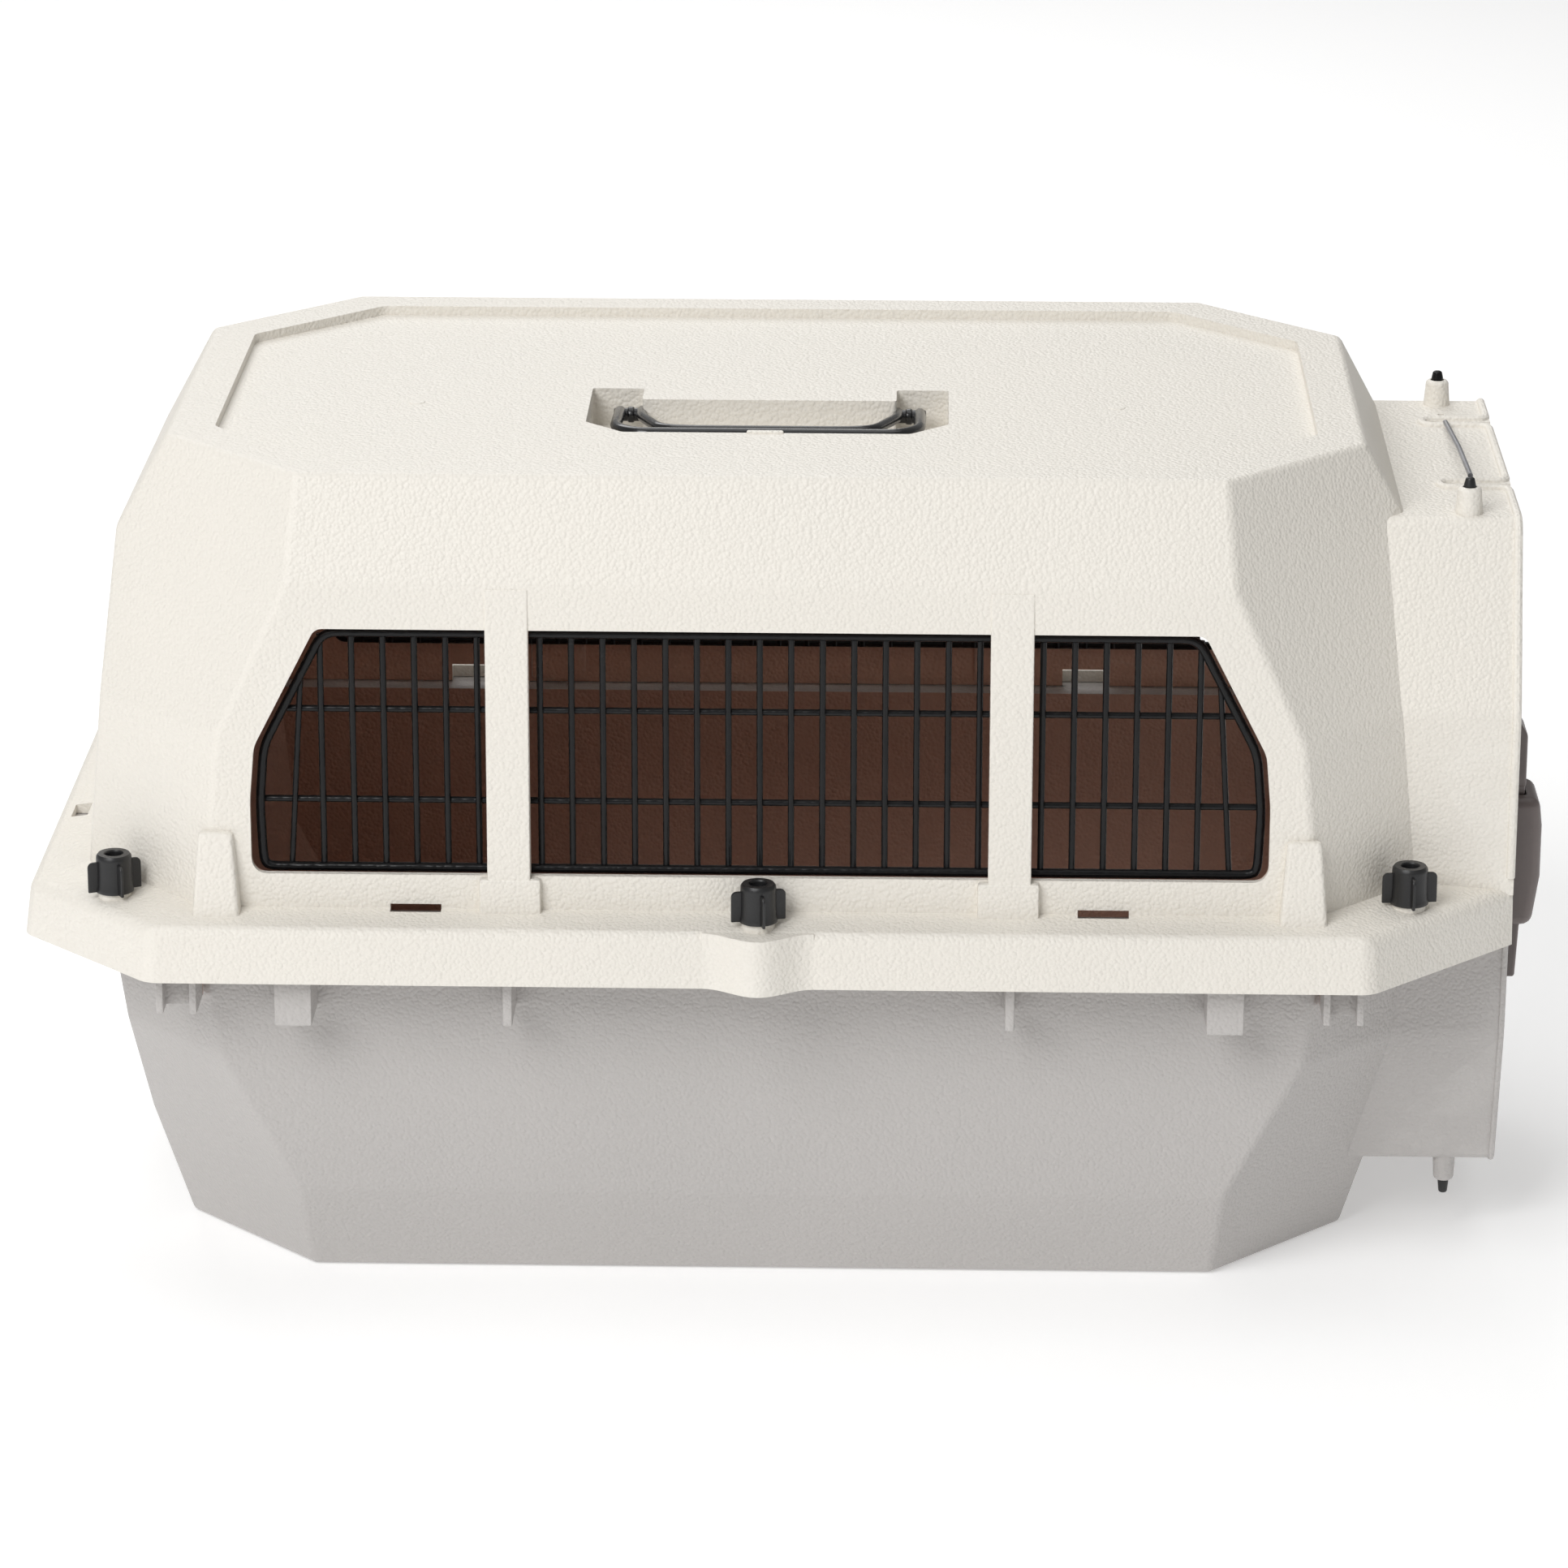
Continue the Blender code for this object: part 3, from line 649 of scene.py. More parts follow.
@dataclass
class TopShell:
    """The cream upper half: roof with handle pocket, windows, flange and the door box's upper half.

    Attributes:
        flange: The flange that both shells share.
        front: The long sides' profile, as distance from the middle and height.
        end: The profile of both ends.
        corner: The profile of the four corner faces.
        box: The door box's profile.
        window: Right half of the window's outline, as x and height.
        roof_z: Height of the roof.
        pan_z: Height of the shallow pan's floor.
        pan_half: Half the pan's length and width.
        pan_corner: How much of each of the pan's corners is cut off.
        pocket_z: Height of the handle pocket's floor.
        shoulder_z: Height of the fold between wall and roof slope.
        box_top: Height of the door box's top face.
        boss: Height, foot radius and top radius of the bosses round the rods.
        rod_hole: Radius of the rods' holes.
        pivot: Where the handle's pins run, as y and height.
        pin_hole: Radius of the pins' holes.
        notches: Where the slots in the box's top edge are.
        notch_half: Half a slot's width.
        pillar_x: Distance of the pillars from the middle.
        pillar_half: Half a pillar's width.
        pillar_foot_half: Half the width of its foot.
        pillar_foot_z: Height of its foot.
        pillar_back: Distance of its inner face from the middle.
        lug_x: Distance of the stop blocks from the middle.
        lug_z: Height of their tops.
        slot_x: Distance of the side slots from the middle.
        slot_half: Half a side slot's length.
        slot_y: From where to where they go through the wall's foot.
        slot_z: Height that they go up the wall.
        fold: Width of the rounding of the folds.
    """

    flange: Flange
    front: tuple[Step, ...] = ((0.1632, 0.168), (0.1625, 0.306), (0.1468, 0.3477))
    end: tuple[Step, ...] = ((0.278, 0.168), (0.2655, 0.3075), (0.2435, 0.3477))
    corner: tuple[Step, ...] = ((0.2744, 0.168), (0.2691, 0.2425), (0.2348, 0.3477))
    box: tuple[Step, ...] = ((0.121, 0.168), (0.121, 0.2435), (0.0937, 0.318))
    window: tuple[Step, ...] = (
        (0.177, 0.288),
        (0.2025, 0.2383),
        (0.2045, 0.216),
        (0.2045, 0.189),
        (0.201, 0.185),
    )
    roof_z: float = 0.3477
    pan_z: float = 0.3437
    pan_half: Step = (0.2248, 0.1275)
    pan_corner: float = 0.0515
    pocket_z: float = 0.3277
    shoulder_z: float = 0.306
    box_top: float = 0.318
    boss: tuple[float, float, float] = (0.013, 0.0058, 0.0048)
    rod_hole: float = 0.0029
    pivot: Step = (PIVOT_Y, PIVOT_Z)
    pin_hole: float = 0.0023
    notches: Step = (0.0540, -0.0440)
    notch_half: float = 0.0021
    pillar_x: float = 0.1006
    pillar_half: float = 0.00865
    pillar_foot_half: float = 0.0124
    pillar_foot_z: float = 0.1846
    pillar_back: float = 0.1590
    lug_x: float = 0.2186
    lug_z: float = 0.203
    slot_x: float = 0.1385
    slot_half: float = 0.0103
    slot_y: Step = (0.1570, 0.1664)
    slot_z: Step = (0.160, 0.1726)
    fold: float = 0.0022

    def pocket(self, grow: float) -> Outline:
        """Gives the outline of the handle's pocket: a bay for the grip with an ear at each pivot.

        Args:
            grow: How far the outline is moved outwards.

        Returns:
            The outline.
        """
        return mirrored(
            [
                (0.0530 - grow, -0.0135 + grow),
                (0.0530 - grow, 0.0040 + grow),
                (0.0747 + grow, 0.0040 + grow),
                (0.0747 + grow, -0.0500),
                (0.0590 + grow, -0.0655 - grow),
            ]
        )

    def outer(self) -> list[Plane]:
        """Gives the planes of all the outer walls."""
        return walls(self.front, SIDES) + walls(self.end, ENDS) + walls(self.corner, CORNERS)

    def solid(self) -> bpy.types.Object:
        """Builds the outside as one solid block.

        Returns:
            The solid block.
        """
        flange = self.flange
        low = flange.seat_z - OUT_OF_THE_WAY
        shell = hewn("top_shell_moulding", self.outer() + [level(self.roof_z), level(low, up=False)])
        soften(shell, self.fold, over=8)
        trim(shell, [level(flange.seat_z, up=False)])
        skirt = hewn(
            "flange",
            flange.skirt(0.0)
            + flange.top()
            + [level(flange.skirt_z - OUT_OF_THE_WAY, up=False), upright(0, flange.door_x + OUT_OF_THE_WAY)],
        )
        soften(skirt, flange.edge_round, segments=4)
        trim(skirt, [level(flange.skirt_z, up=False), upright(0, flange.door_x)])
        box = hewn(
            "door_box",
            walls(self.box, SIDES)
            + [level(self.box_top), level(low, up=False)]
            + [upright(0, flange.door_x + OUT_OF_THE_WAY), upright(180, -BOX_ROOT_X)],
        )
        soften(box, 0.003, over=8)
        trim(box, [level(flange.seat_z + 0.0008, up=False), upright(0, flange.door_x)])
        boolean(shell, [skirt, box, *self.additions()], Cut.ADD)
        return shell

    def additions(self) -> list[bpy.types.Object]:
        """Builds all that stands out of the walls.

        Returns:
            The solids to add.
        """
        flange = self.flange
        pad_foot, pad_top = 0.0070, 0.0066
        pad_low = flange.seat_z + OVERLAP
        pad_height = flange.nut_seat_z - flange.seat_z - OVERLAP
        boss_low = self.box_top - 2 * OVERLAP
        added = []
        for side in BOTH:
            low, high = flange.skirt_z - OUT_OF_THE_WAY, flange.edge_z - HAIR
            bulge = flange.bulge(f"bulge_{side}", side, 0.0, low, high)
            added.append(soften(bulge, flange.edge_round, segments=4, over=50))
            trim(bulge, [level(flange.skirt_z, up=False)])
            boss = turned(f"boss_{side}", (ROD_X, side * ROD_Y, boss_low), *self.boss)
            added.append(soften(boss, 0.0016, over=50))
            added += [self.lug(side, end) for end in BOTH]
            for index, (x, y) in enumerate(flange.nuts):
                foot = (x, side * y, pad_low)
                added.append(turned(f"pad_{side}_{index}", foot, pad_height, pad_foot, pad_top))
        return added

    def pillar(self, side: int, end: int) -> list[bpy.types.Object]:
        """Builds a post across the window, flush at the shoulder and proud at its wider foot.

        Args:
            side: -1 for the front and 1 for the back.
            end: -1 for the end away from the door and 1 for the other.

        Returns:
            The post and its foot.
        """
        angle, x = BACK * side, end * self.pillar_x
        face = slant(angle, (0.1672, 0.168), (0.1629, self.shoulder_z))
        back = slant(-angle, (-self.pillar_back, 0.168), (-self.pillar_back, self.shoulder_z))
        low = level(self.flange.seat_z + OVERLAP, up=False)
        post = hewn(
            f"pillar_{side}_{end}",
            [face, back, level(self.shoulder_z - OVERLAP), low, *flanks(x, self.pillar_half)],
        )
        foot = hewn(
            f"pillar_foot_{side}_{end}",
            [*inset([face], -5 * HAIR), back, level(self.pillar_foot_z), low]
            + flanks(x - end * 4 * HAIR, self.pillar_foot_half),
        )
        return [soften(post, 0.0008, 2), soften(foot, 0.0012, 2)]

    def lug(self, side: int, end: int) -> bpy.types.Object:
        """Builds a tapered stop block in the angle between wall and flange.

        Args:
            side: -1 for the front and 1 for the back.
            end: -1 for the end away from the door and 1 for the other.

        Returns:
            The stop block.
        """
        angle, x, top = BACK * side, end * self.lug_x, self.lug_z
        foot_half, top_half, back = 0.0097, 0.0070, 0.1610
        flank_planes = []
        for flank in BOTH:
            low = Vector((x + flank * foot_half, 0.0, self.flange.edge_z))
            slope = Vector((x + flank * top_half, 0.0, top)) - low
            flank_planes.append((low, Vector((flank * slope.z, 0.0, -flank * slope.x)).normalized()))
        block = hewn(
            f"lug_{side}_{end}",
            [slant(angle, (0.1725, self.flange.edge_z), (0.1660, top))]
            + [slant(-angle, (-back, 0.168), (-back, top)), *flank_planes]
            + [ level(top), level(self.flange.seat_z - 0.004, up=False)],
        )
        soften(block, 0.0019)
        trim(block, [level(self.flange.seat_z + OVERLAP, up=False)])
        return block

    def hollow(self, shell: bpy.types.Object) -> None:
        """Cuts the cabin, the door's mouth and the space under the flange out of the shell.

        Args:
            shell: The solid to hollow out.
        """
        flange = self.flange
        below = flange.skirt_z - CLEAR
        cabin = hewn(
            "cabin",
            inset(self.outer(), flange.wall) + [level(self.pan_z - flange.wall), level(below, up=False)],
        )
        mouth = hewn(
            "mouth",
            inset(walls(self.box, SIDES), flange.wall)
            + [level(self.box_top - flange.wall), level(below, up=False)]
            + [upright(0, 0.33), upright(180, -MOUTH_ROOT_X)],
        )
        under = hewn(
            "under_flange",
            flange.skirt(flange.wall)
            + [level(flange.seat_z), level(below, up=False), upright(0, flange.door_x + CLEAR)],
        )
        hollows = [
            flange.bulge(f"hollow_{side}", side, flange.wall, flange.skirt_z - 0.004, flange.seat_z + 0.0003)
            for side in BOTH
        ]
        boolean(shell, [cabin, mouth, under, *hollows], Cut.REMOVE)

    def pan(self) -> Outline:
        """Gives the outline of the shallow pan in the roof.

        Returns:
            The outline.
        """
        (x, y), corner = self.pan_half, self.pan_corner
        right = [(x, y - corner), (x - corner, y)]
        left = [(-a, b) for a, b in reversed(right)]
        return [*right, *left, *[(a, -b) for a, b in reversed(left)], *[(a, -b) for a, b in reversed(right)]]

    def openings(self) -> list[bpy.types.Object]:
        """Builds the tools for the roof pan, pocket, windows, slots and holes.

        Returns:
            The tools, to be cut out of the shell.
        """
        flange = self.flange
        above = self.roof_z + 0.02
        box_low = self.box_top - CLEAR
        tools = [
            slab("roof_pan", self.pan(), self.pan_z, above, bend=0.003),
            slab("pocket", self.pocket(0.0), self.pocket_z, above, bend=0.0015),
        ]
        for side in BOTH:
            window = slab(f"window_{side}", mirrored(list(self.window)), 0.150, 0.176, bend=0.0032)
            tools.append(stood_up(window, side))
            near, far = sorted(side * reach for reach in self.slot_y)
            low, high = self.slot_z
            for end in BOTH:
                x = end * self.slot_x
                tools.append(brick("slot", (x - self.slot_half, near, low), (x + self.slot_half, far, high)))
            y = side * 0.0395
            tools.append(brick("end_slot", (-0.2940, y - 0.008, 0.155), (-0.2870, y + 0.008, 0.19)))
            tools.append(turned("rod_hole", (ROD_X, side * ROD_Y, box_low), 0.03, self.rod_hole))
            tools.append(turned("gauge_hole", (0.2868, side * 0.0680, box_low), 0.03, 0.0014, sides=16))
            foot = (side * 0.0635 - 0.0135, *self.pivot)
            tools.append(turned("pivot_hole", foot, 0.027, self.pin_hole, sides=16, axis="X"))
            for x, y in flange.nuts:
                foot = (x, side * y, flange.seat_z - CLEAR)
                tools.append(turned("bolt_hole", foot, 2 * CLEAR, flange.nut_hole, sides=16))
        for y in self.notches:
            half, inner, outer = self.notch_half, 0.2800, flange.door_x + CLEAR
            outline = [(outer, y - half), (outer, y + half), (inner, y + half), (inner, y - half)]
            tools.append(slab("notch", outline, box_low, 0.33))
            tools.append(turned("keyhole", (0.2822, y, box_low), 2 * CLEAR, 0.0032, sides=16))
        return tools

    def bead(self) -> bpy.types.Object:
        """Builds the rounded bead along the box's edge, round its corners and both slots.

        Returns:
            The bead.
        """
        x, top, radius = self.flange.door_x - 0.0014, self.box_top, 0.0018
        foot_z, slot_x, beside = 0.1735, 0.2775, 0.0052
        wide, high = self.box[1]
        narrow = self.box[2][0]
        route = [(x, wide, foot_z), (x, wide, high), (x, narrow, top)]
        for y in self.notches:
            before, after = y + beside, y - beside
            route += [(x, before, top), (slot_x, before, top), (slot_x, after, top), (x, after, top)]
        route += [(x, -narrow, top), (x, -wide, high), (x, -wide, foot_z)]
        return wire("box_bead", route, radius, bend=0.0055, roundness=3)

    def marks(self) -> list[bpy.types.Object]:
        """Builds the two small moulding marks in the roof pan and the catch at the pocket's edge.

        Returns:
            The marks and the catch.
        """
        made = []
        for x, y in ((-0.1468, -0.0210), (0.1446, -0.0215)):
            mark = turned("gate_mark", (x, y, self.pan_z - OVERLAP), 0.0014, 0.0040, 0.0034)
            made.append(soften(mark, 0.0003, 2))
        low, high = self.pan_z - 0.0030, self.pan_z + 0.0010
        catch = brick("catch", (-0.0080, -0.0672, low), (0.0072, -0.0641, high))
        made.append(soften(catch, 0.0008, 2))
        return made

    def build(self) -> bpy.types.Object:
        """Builds the whole upper shell as one closed moulding.

        Returns:
            The finished piece.
        """
        shell = self.solid()
        self.hollow(shell)
        wall = self.flange.wall
        housing = slab("pocket_housing", self.pocket(wall), self.pocket_z - wall, self.pan_z - OVERLAP)
        boolean(shell, [housing], Cut.ADD)
        boolean(shell, self.openings(), Cut.REMOVE)
        pillars = [solid for side in BOTH for end in BOTH for solid in self.pillar(side, end)]
        boolean(shell, [*pillars, self.bead(), *self.marks()], Cut.ADD)
        return smooth(shell)


@dataclass
class BottomShell:
    """The grey lower half: tray, rim with its ribs, and the door box's lower half.

    Attributes:
        flange: The flange that both shells share.
        front: The long sides' profile, as distance from the middle and height.
        end: The profile of both ends.
        corner: The profile of the four corner faces.
        box: The door box's profile.
        rim_z: Height of the rim's top face.
        rim_gap: Room between the rim and the skirt round it.
        boss: Height, foot radius and top radius of the bosses round the rods.
        boss_z: Height that the bosses start at.
        rod_hole: Radius of the rods' holes.
        rib_root: Distance from the middle of the ribs' inner ends, inside the wall.
        ribs: Distance along, width, height of the foot and reach of each rib.
        fold: Width of the rounding of the folds.
    """

    flange: Flange
    front: tuple[Step, ...] = ((0.128, 0.0), (0.1475, 0.042), (0.152, 0.168))
    end: tuple[Step, ...] = ((0.244, 0.0), (0.258, 0.054), (0.2745, 0.168))
    corner: tuple[Step, ...] = ((0.2227, 0.0), (0.2623, 0.101), (0.2687, 0.168))
    box: tuple[Step, ...] = ((0.091, 0.0375), (0.1106, 0.1014), (0.1146, 0.168))
    rim_z: float = 0.1647
    rim_gap: float = 0.0005
    boss: tuple[float, float, float] = (0.013, 0.0042, 0.0048)
    boss_z: float = 0.0265
    rod_hole: float = 0.0029
    rib_root: float = 0.1478
    ribs: tuple[tuple[float, float, float, float], ...] = (
        (0.1880, 0.0150, 0.1240, 0.1755),
        (0.1013, 0.0038, 0.1247, 0.1755),
        (0.2290, 0.0030, 0.1270, 0.1715),
        (0.2360, 0.0160, 0.1285, 0.1640),
        (0.2425, 0.0030, 0.1270, 0.1715),
    )
    fold: float = 0.0022

    def rib(self, side: int, x: float, width: float, foot: float, reach: float) -> bpy.types.Object:
        """Builds one rib from the wall out to just inside the skirt.

        Args:
            side: -1 for the front and 1 for the back.
            x: Where its middle is along the wall.
            width: Its width.
            foot: Height of its lower end.
            reach: How far out it goes.

        Returns:
            The rib.
        """
        near, far = sorted((side * self.rib_root, side * reach))
        low, high = (x - width / 2, near, foot), (x + width / 2, far, self.rim_z - 0.0015)
        return soften(brick(f"rib_{side}_{x:.3f}", low, high), 0.0007, 2)

    def solid(self, outer: list[Plane]) -> bpy.types.Object:
        """Builds the outside as one solid block.

        Args:
            outer: The planes of the outer walls.

        Returns:
            The solid block.
        """
        flange = self.flange
        end_x = flange.door_x - self.rim_gap
        above = level(self.rim_z + OUT_OF_THE_WAY)
        shell = hewn("bottom_shell_moulding", [*outer, above, level(0.0, up=False)])
        soften(shell, self.fold, over=8)
        trim(shell, [level(self.rim_z)])
        rim = hewn(
            "rim",
            flange.skirt(flange.wall + self.rim_gap)
            + [level(self.rim_z), level(self.rim_z - flange.wall, up=False), upright(0, end_x)],
        )
        box = hewn(
            "low_box",
            walls(self.box, SIDES)
            + [level(self.box[0][1], up=False), above]
            + [upright(0, flange.door_x + OUT_OF_THE_WAY), upright(180, -BOX_ROOT_X)],
        )
        soften(box, 0.0026, over=4)
        trim(box, [level(self.rim_z), upright(0, end_x)])
        added = [rim, box]
        for side in BOTH:
            added += [self.rib(side, end * x, *sizes) for end in BOTH for x, *sizes in self.ribs]
        bulge_foot = self.rim_z - flange.wall
        for side in BOTH:
            added.append(turned(f"rim_bulge_{side}", (0.0, side * 0.1752, bulge_foot), flange.wall, 0.0125))
            boss = turned(f"low_boss_{side}", (ROD_X, side * ROD_Y, self.boss_z), *self.boss)
            added.append(soften(boss, 0.0016, over=50))
        boolean(shell, added, Cut.ADD)
        return shell

    def hollow(self, shell: bpy.types.Object, outer: list[Plane]) -> None:
        """Cuts the cabin, the door's mouth and the holes out of the shell.

        Args:
            shell: The solid to hollow out.
            outer: The planes of the outer walls.
        """
        flange = self.flange
        above = level(self.rim_z + CLEAR)
        cabin = hewn("cabin", inset(outer, flange.wall) + [above, level(flange.wall, up=False)])
        mouth = hewn(
            "mouth",
            inset(walls(self.box, SIDES), flange.wall)
            + [above, level(self.box[0][1] + flange.wall, up=False)]
            + [upright(0, flange.door_x + 2 * CLEAR), upright(180, -MOUTH_ROOT_X)],
        )
        holes = []
        for side in BOTH:
            holes.append(turned("rod_hole", (ROD_X, side * ROD_Y, CLEAR), 0.04, self.rod_hole, sides=16))
            for x, y in flange.nuts:
                foot = (x, side * y, self.rim_z - CLEAR)
                holes.append(turned("rim_hole", foot, 2 * CLEAR, flange.nut_hole, sides=16))
        boolean(shell, [cabin, mouth, *holes], Cut.REMOVE)

    def build(self) -> bpy.types.Object:
        """Builds the whole lower shell as one closed moulding.

        Returns:
            The finished piece.
        """
        outer = walls(self.front, SIDES) + walls(self.end, ENDS) + walls(self.corner, CORNERS)
        shell = self.solid(outer)
        self.hollow(shell, outer)
        boolean(shell, [self.bead()], Cut.ADD)
        return smooth(shell)

    def bead(self) -> bpy.types.Object:
        """Builds the rounded bead along the box's edge.

        Returns:
            The bead.
        """
        x = self.flange.door_x - 0.0016
        (low_y, low_z), (mid_y, mid_z), (_, _) = self.box
        high = (mid_y + 0.0036, 0.1600)
        half = [(x, *high), (x, mid_y, mid_z), (x, low_y, low_z)]
        return wire("low_box_bead", half + [(x, -y, z) for x, y, z in reversed(half)], 0.0013, bend=0.004)


# ---------------------------------------------------------------- wire work


@dataclass
class WindowGrille:
    """A welded wire grille behind one side's windows.

    Attributes:
        side: -1 for the front and 1 for the back.
        outline: Right half of the frame wire's centre line (x, z), from the top down.
        pitch: Distance between upright wires.
        rails: Heights of the wires that run lengthwise.
        wire_radius: Radius of the upright wires.
        frame_radius: Radius of the frame wire.
        middle_y: Distance of the grille from the middle.
        end_bar: Distance from the middle of the leaning end wires, at the head and at the foot.
    """

    side: int
    outline: tuple[Step, ...] = (
        (0.1745, 0.2848),
        (0.1992, 0.2367),
        (0.2012, 0.2125),
        (0.2003, 0.1878),
        (0.1975, 0.1858),
    )
    pitch: float = 0.01256
    rails: tuple[float, ...] = (0.2136, 0.2518)
    wire_radius: float = 0.0013
    frame_radius: float = 0.0019
    middle_y: float = 0.1554
    end_bar: Step = (0.1838, 0.1890)

    def half_width(self, z: float) -> float:
        """Finds the frame's half width at a height."""
        for (high_x, high_z), (low_x, low_z) in zip(self.outline, self.outline[1:]):
            if low_z <= z <= high_z:
                return low_x + (high_x - low_x) * (z - low_z) / (high_z - low_z)
        return self.outline[-1][0]

    def top_at(self, x: float) -> float:
        """Finds the height of the frame wire above a place along the grille.

        Args:
            x: The place along the grille.

        Returns:
            The height.
        """
        (top_x, top_z), (low_x, low_z) = self.outline[0], self.outline[1]
        if abs(x) <= top_x:
            return top_z
        return top_z + (low_z - top_z) * (abs(x) - top_x) / (low_x - top_x)

    def build(self) -> bpy.types.Object:
        """Builds the whole grille as one piece of welded wires.

        Returns:
            The finished piece.
        """
        y_frame = self.side * (self.middle_y + 0.0004)
        y_bars = self.side * (self.middle_y - 0.0006)
        y_rails = self.side * (self.middle_y - 0.0006 - self.wire_radius * 1.5)
        bottom = self.outline[-1][1]
        ring = [(x, y_frame, z) for x, z in mirrored(list(self.outline))]
        pieces = [wire("frame_wire", ring, self.frame_radius, bend=0.006, closed=True, roundness=3)]
        bars_each_side = 14
        for step in range(-bars_each_side, bars_each_side + 1):
            x = step * self.pitch
            overrun = 0.0011 if step % 2 else 0.0017
            route = [(x, y_bars, bottom - 0.0012), (x, y_bars, self.top_at(x) + overrun)]
            pieces.append(wire("bar", route, self.wire_radius))
        for end in BOTH:
            head_x, foot_x = (end * x for x in self.end_bar)
            route = [(foot_x, y_bars, bottom - 0.0008), (head_x, y_bars, self.top_at(head_x) - 0.0006)]
            pieces.append(wire("end_bar", route, self.wire_radius * 0.92))
        for z in self.rails:
            reach = self.half_width(z) + 0.0006
            pieces.append(wire("rail", [(-reach, y_rails, z), (reach, y_rails, z)], self.wire_radius * 1.08))
        name = f"{'front' if self.side < 0 else 'back'}_grille_wires"
        return smooth(gather(name, pieces), 50)


@dataclass
class WireDoor:
    """The wire door: frame, bars, rails with eyes on the hinge rod, and the rod itself.

    Attributes:
        half: Right half of the frame wire's centre line, as y and height, from the top down.
        pitch: Distance between upright wires.
        rails: Heights of the wires that run across.
        plane_x: Where the frame wire lies.
        rod_radius: Radius of the hinge rod.
        rod_z: Height of the rod's foot, and its length.
        bar_radius: Radius of the upright wires.
        frame_radius: Radius of the frame wire.
        eye_radius: Radius of the wire of the hinge eyes.
    """

    half: tuple[Step, ...] = (
        (0.0842, 0.3065),
        (0.1096, 0.2396),
        (0.1066, 0.1680),
        (0.1012, 0.1014),
        (0.0842, 0.0490),
    )
    pitch: float = 0.0127
    rails: tuple[float, ...] = (0.1075, 0.1675, 0.2345)
    plane_x: float = 0.2814
    rod_radius: float = 0.0023
    rod_z: Step = (0.0245, 0.3046)
    bar_radius: float = 0.0013
    frame_radius: float = 0.0019
    eye_radius: float = 0.0011

    def reach(self, y: float, top: bool) -> float:
        """Finds where the frame wire crosses a bar, above or below.

        Args:
            y: The place across.
            top: Whether the upper or the lower crossing is meant.

        Returns:
            The height of the crossing.
        """
        points = self.half[:2] if top else self.half[:2:-1]
        (near_y, near_z), (far_y, far_z) = points
        if abs(y) <= near_y:
            return near_z
        return near_z + (far_z - near_z) * min(1.0, (abs(y) - near_y) / (far_y - near_y))

    def width(self, z: float) -> float:
        """Finds the frame's half width at a height."""
        for (high_y, high_z), (low_y, low_z) in zip(self.half, self.half[1:]):
            if low_z <= z <= high_z:
                return low_y + (high_y - low_y) * (z - low_z) / (high_z - low_z)
        return self.half[0][0]

    def build(self) -> bpy.types.Object:
        """Builds the door as one piece of welded wires.

        Returns:
            The finished piece.
        """
        x = self.plane_x
        ring = [(x, y, z) for y, z in mirrored(list(self.half))]
        pieces = [wire("door_frame", ring, self.frame_radius, bend=0.012, closed=True, roundness=3)]
        bars_each_side = 8
        bar_x, rail_x = x - 0.0016, x + 0.0006
        for step in range(-bars_each_side, bars_each_side + 1):
            y = step * self.pitch
            route = [(bar_x, y, self.reach(y, False)), (bar_x, y, self.reach(y, True))]
            pieces.append(wire("door_bar", route, self.bar_radius))
        for z in self.rails:
            wide = self.width(z)
            route = [(rail_x, -wide, z), (rail_x, wide, z)]
            pieces.append(wire("door_rail", route, self.frame_radius * 0.95))
            pieces.append(self.eye(z))
        foot, length = self.rod_z
        rod = turned("hinge_rod", (ROD_X, ROD_Y, foot), length, self.rod_radius, sides=20)
        pieces += [rod, *self.tips(), self.latch_seat()]
        return smooth(gather("wire_door_assembly", pieces), 50)

    def eye(self, z: float) -> bpy.types.Object:
        """Builds the loop of wire that wraps round the hinge rod at one rail.

        Args:
            z: The height.

        Returns:
            The loop.
        """
        radius = self.rod_radius + self.eye_radius + HAIR
        steps, rise = 14, 0.0003
        route = [(self.plane_x + 0.0006, ROD_Y - 0.014, z), (self.plane_x + 0.0008, ROD_Y - 0.005, z)]
        for step in range(steps + 1):
            turn = math.radians(200 - 320 * step / steps)
            route.append((ROD_X + radius * math.cos(turn), ROD_Y + radius * math.sin(turn), z + rise * step))
        return wire("hinge_eye", route, self.eye_radius)

    def tips(self) -> list[bpy.types.Object]:
        """Builds the rounded caps on both ends of the hinge rod.

        Returns:
            The caps.
        """
        top = turned("rod_cap_top", (ROD_X, ROD_Y, 0.3290), 0.0038, 0.0027, 0.0019)
        foot = turned("rod_cap_foot", (ROD_X, ROD_Y, 0.0205), 0.0058, 0.0018, 0.0024)
        return [soften(cap, 0.0008, over=40) for cap in (top, foot)]

    def latch_seat(self) -> bpy.types.Object:
        """Builds the plate that carries the latch on the door's wires.

        Returns:
            The plate.
        """
        low = (self.plane_x - 0.0004, -ROD_Y - 0.0115, 0.1555)
        high = (ROD_X + 0.0034, -ROD_Y + 0.0135, 0.1945)
        return soften(brick("latch_seat", low, high), 0.0012)


# ---------------------------------------------------------------- latch, handle and fasteners


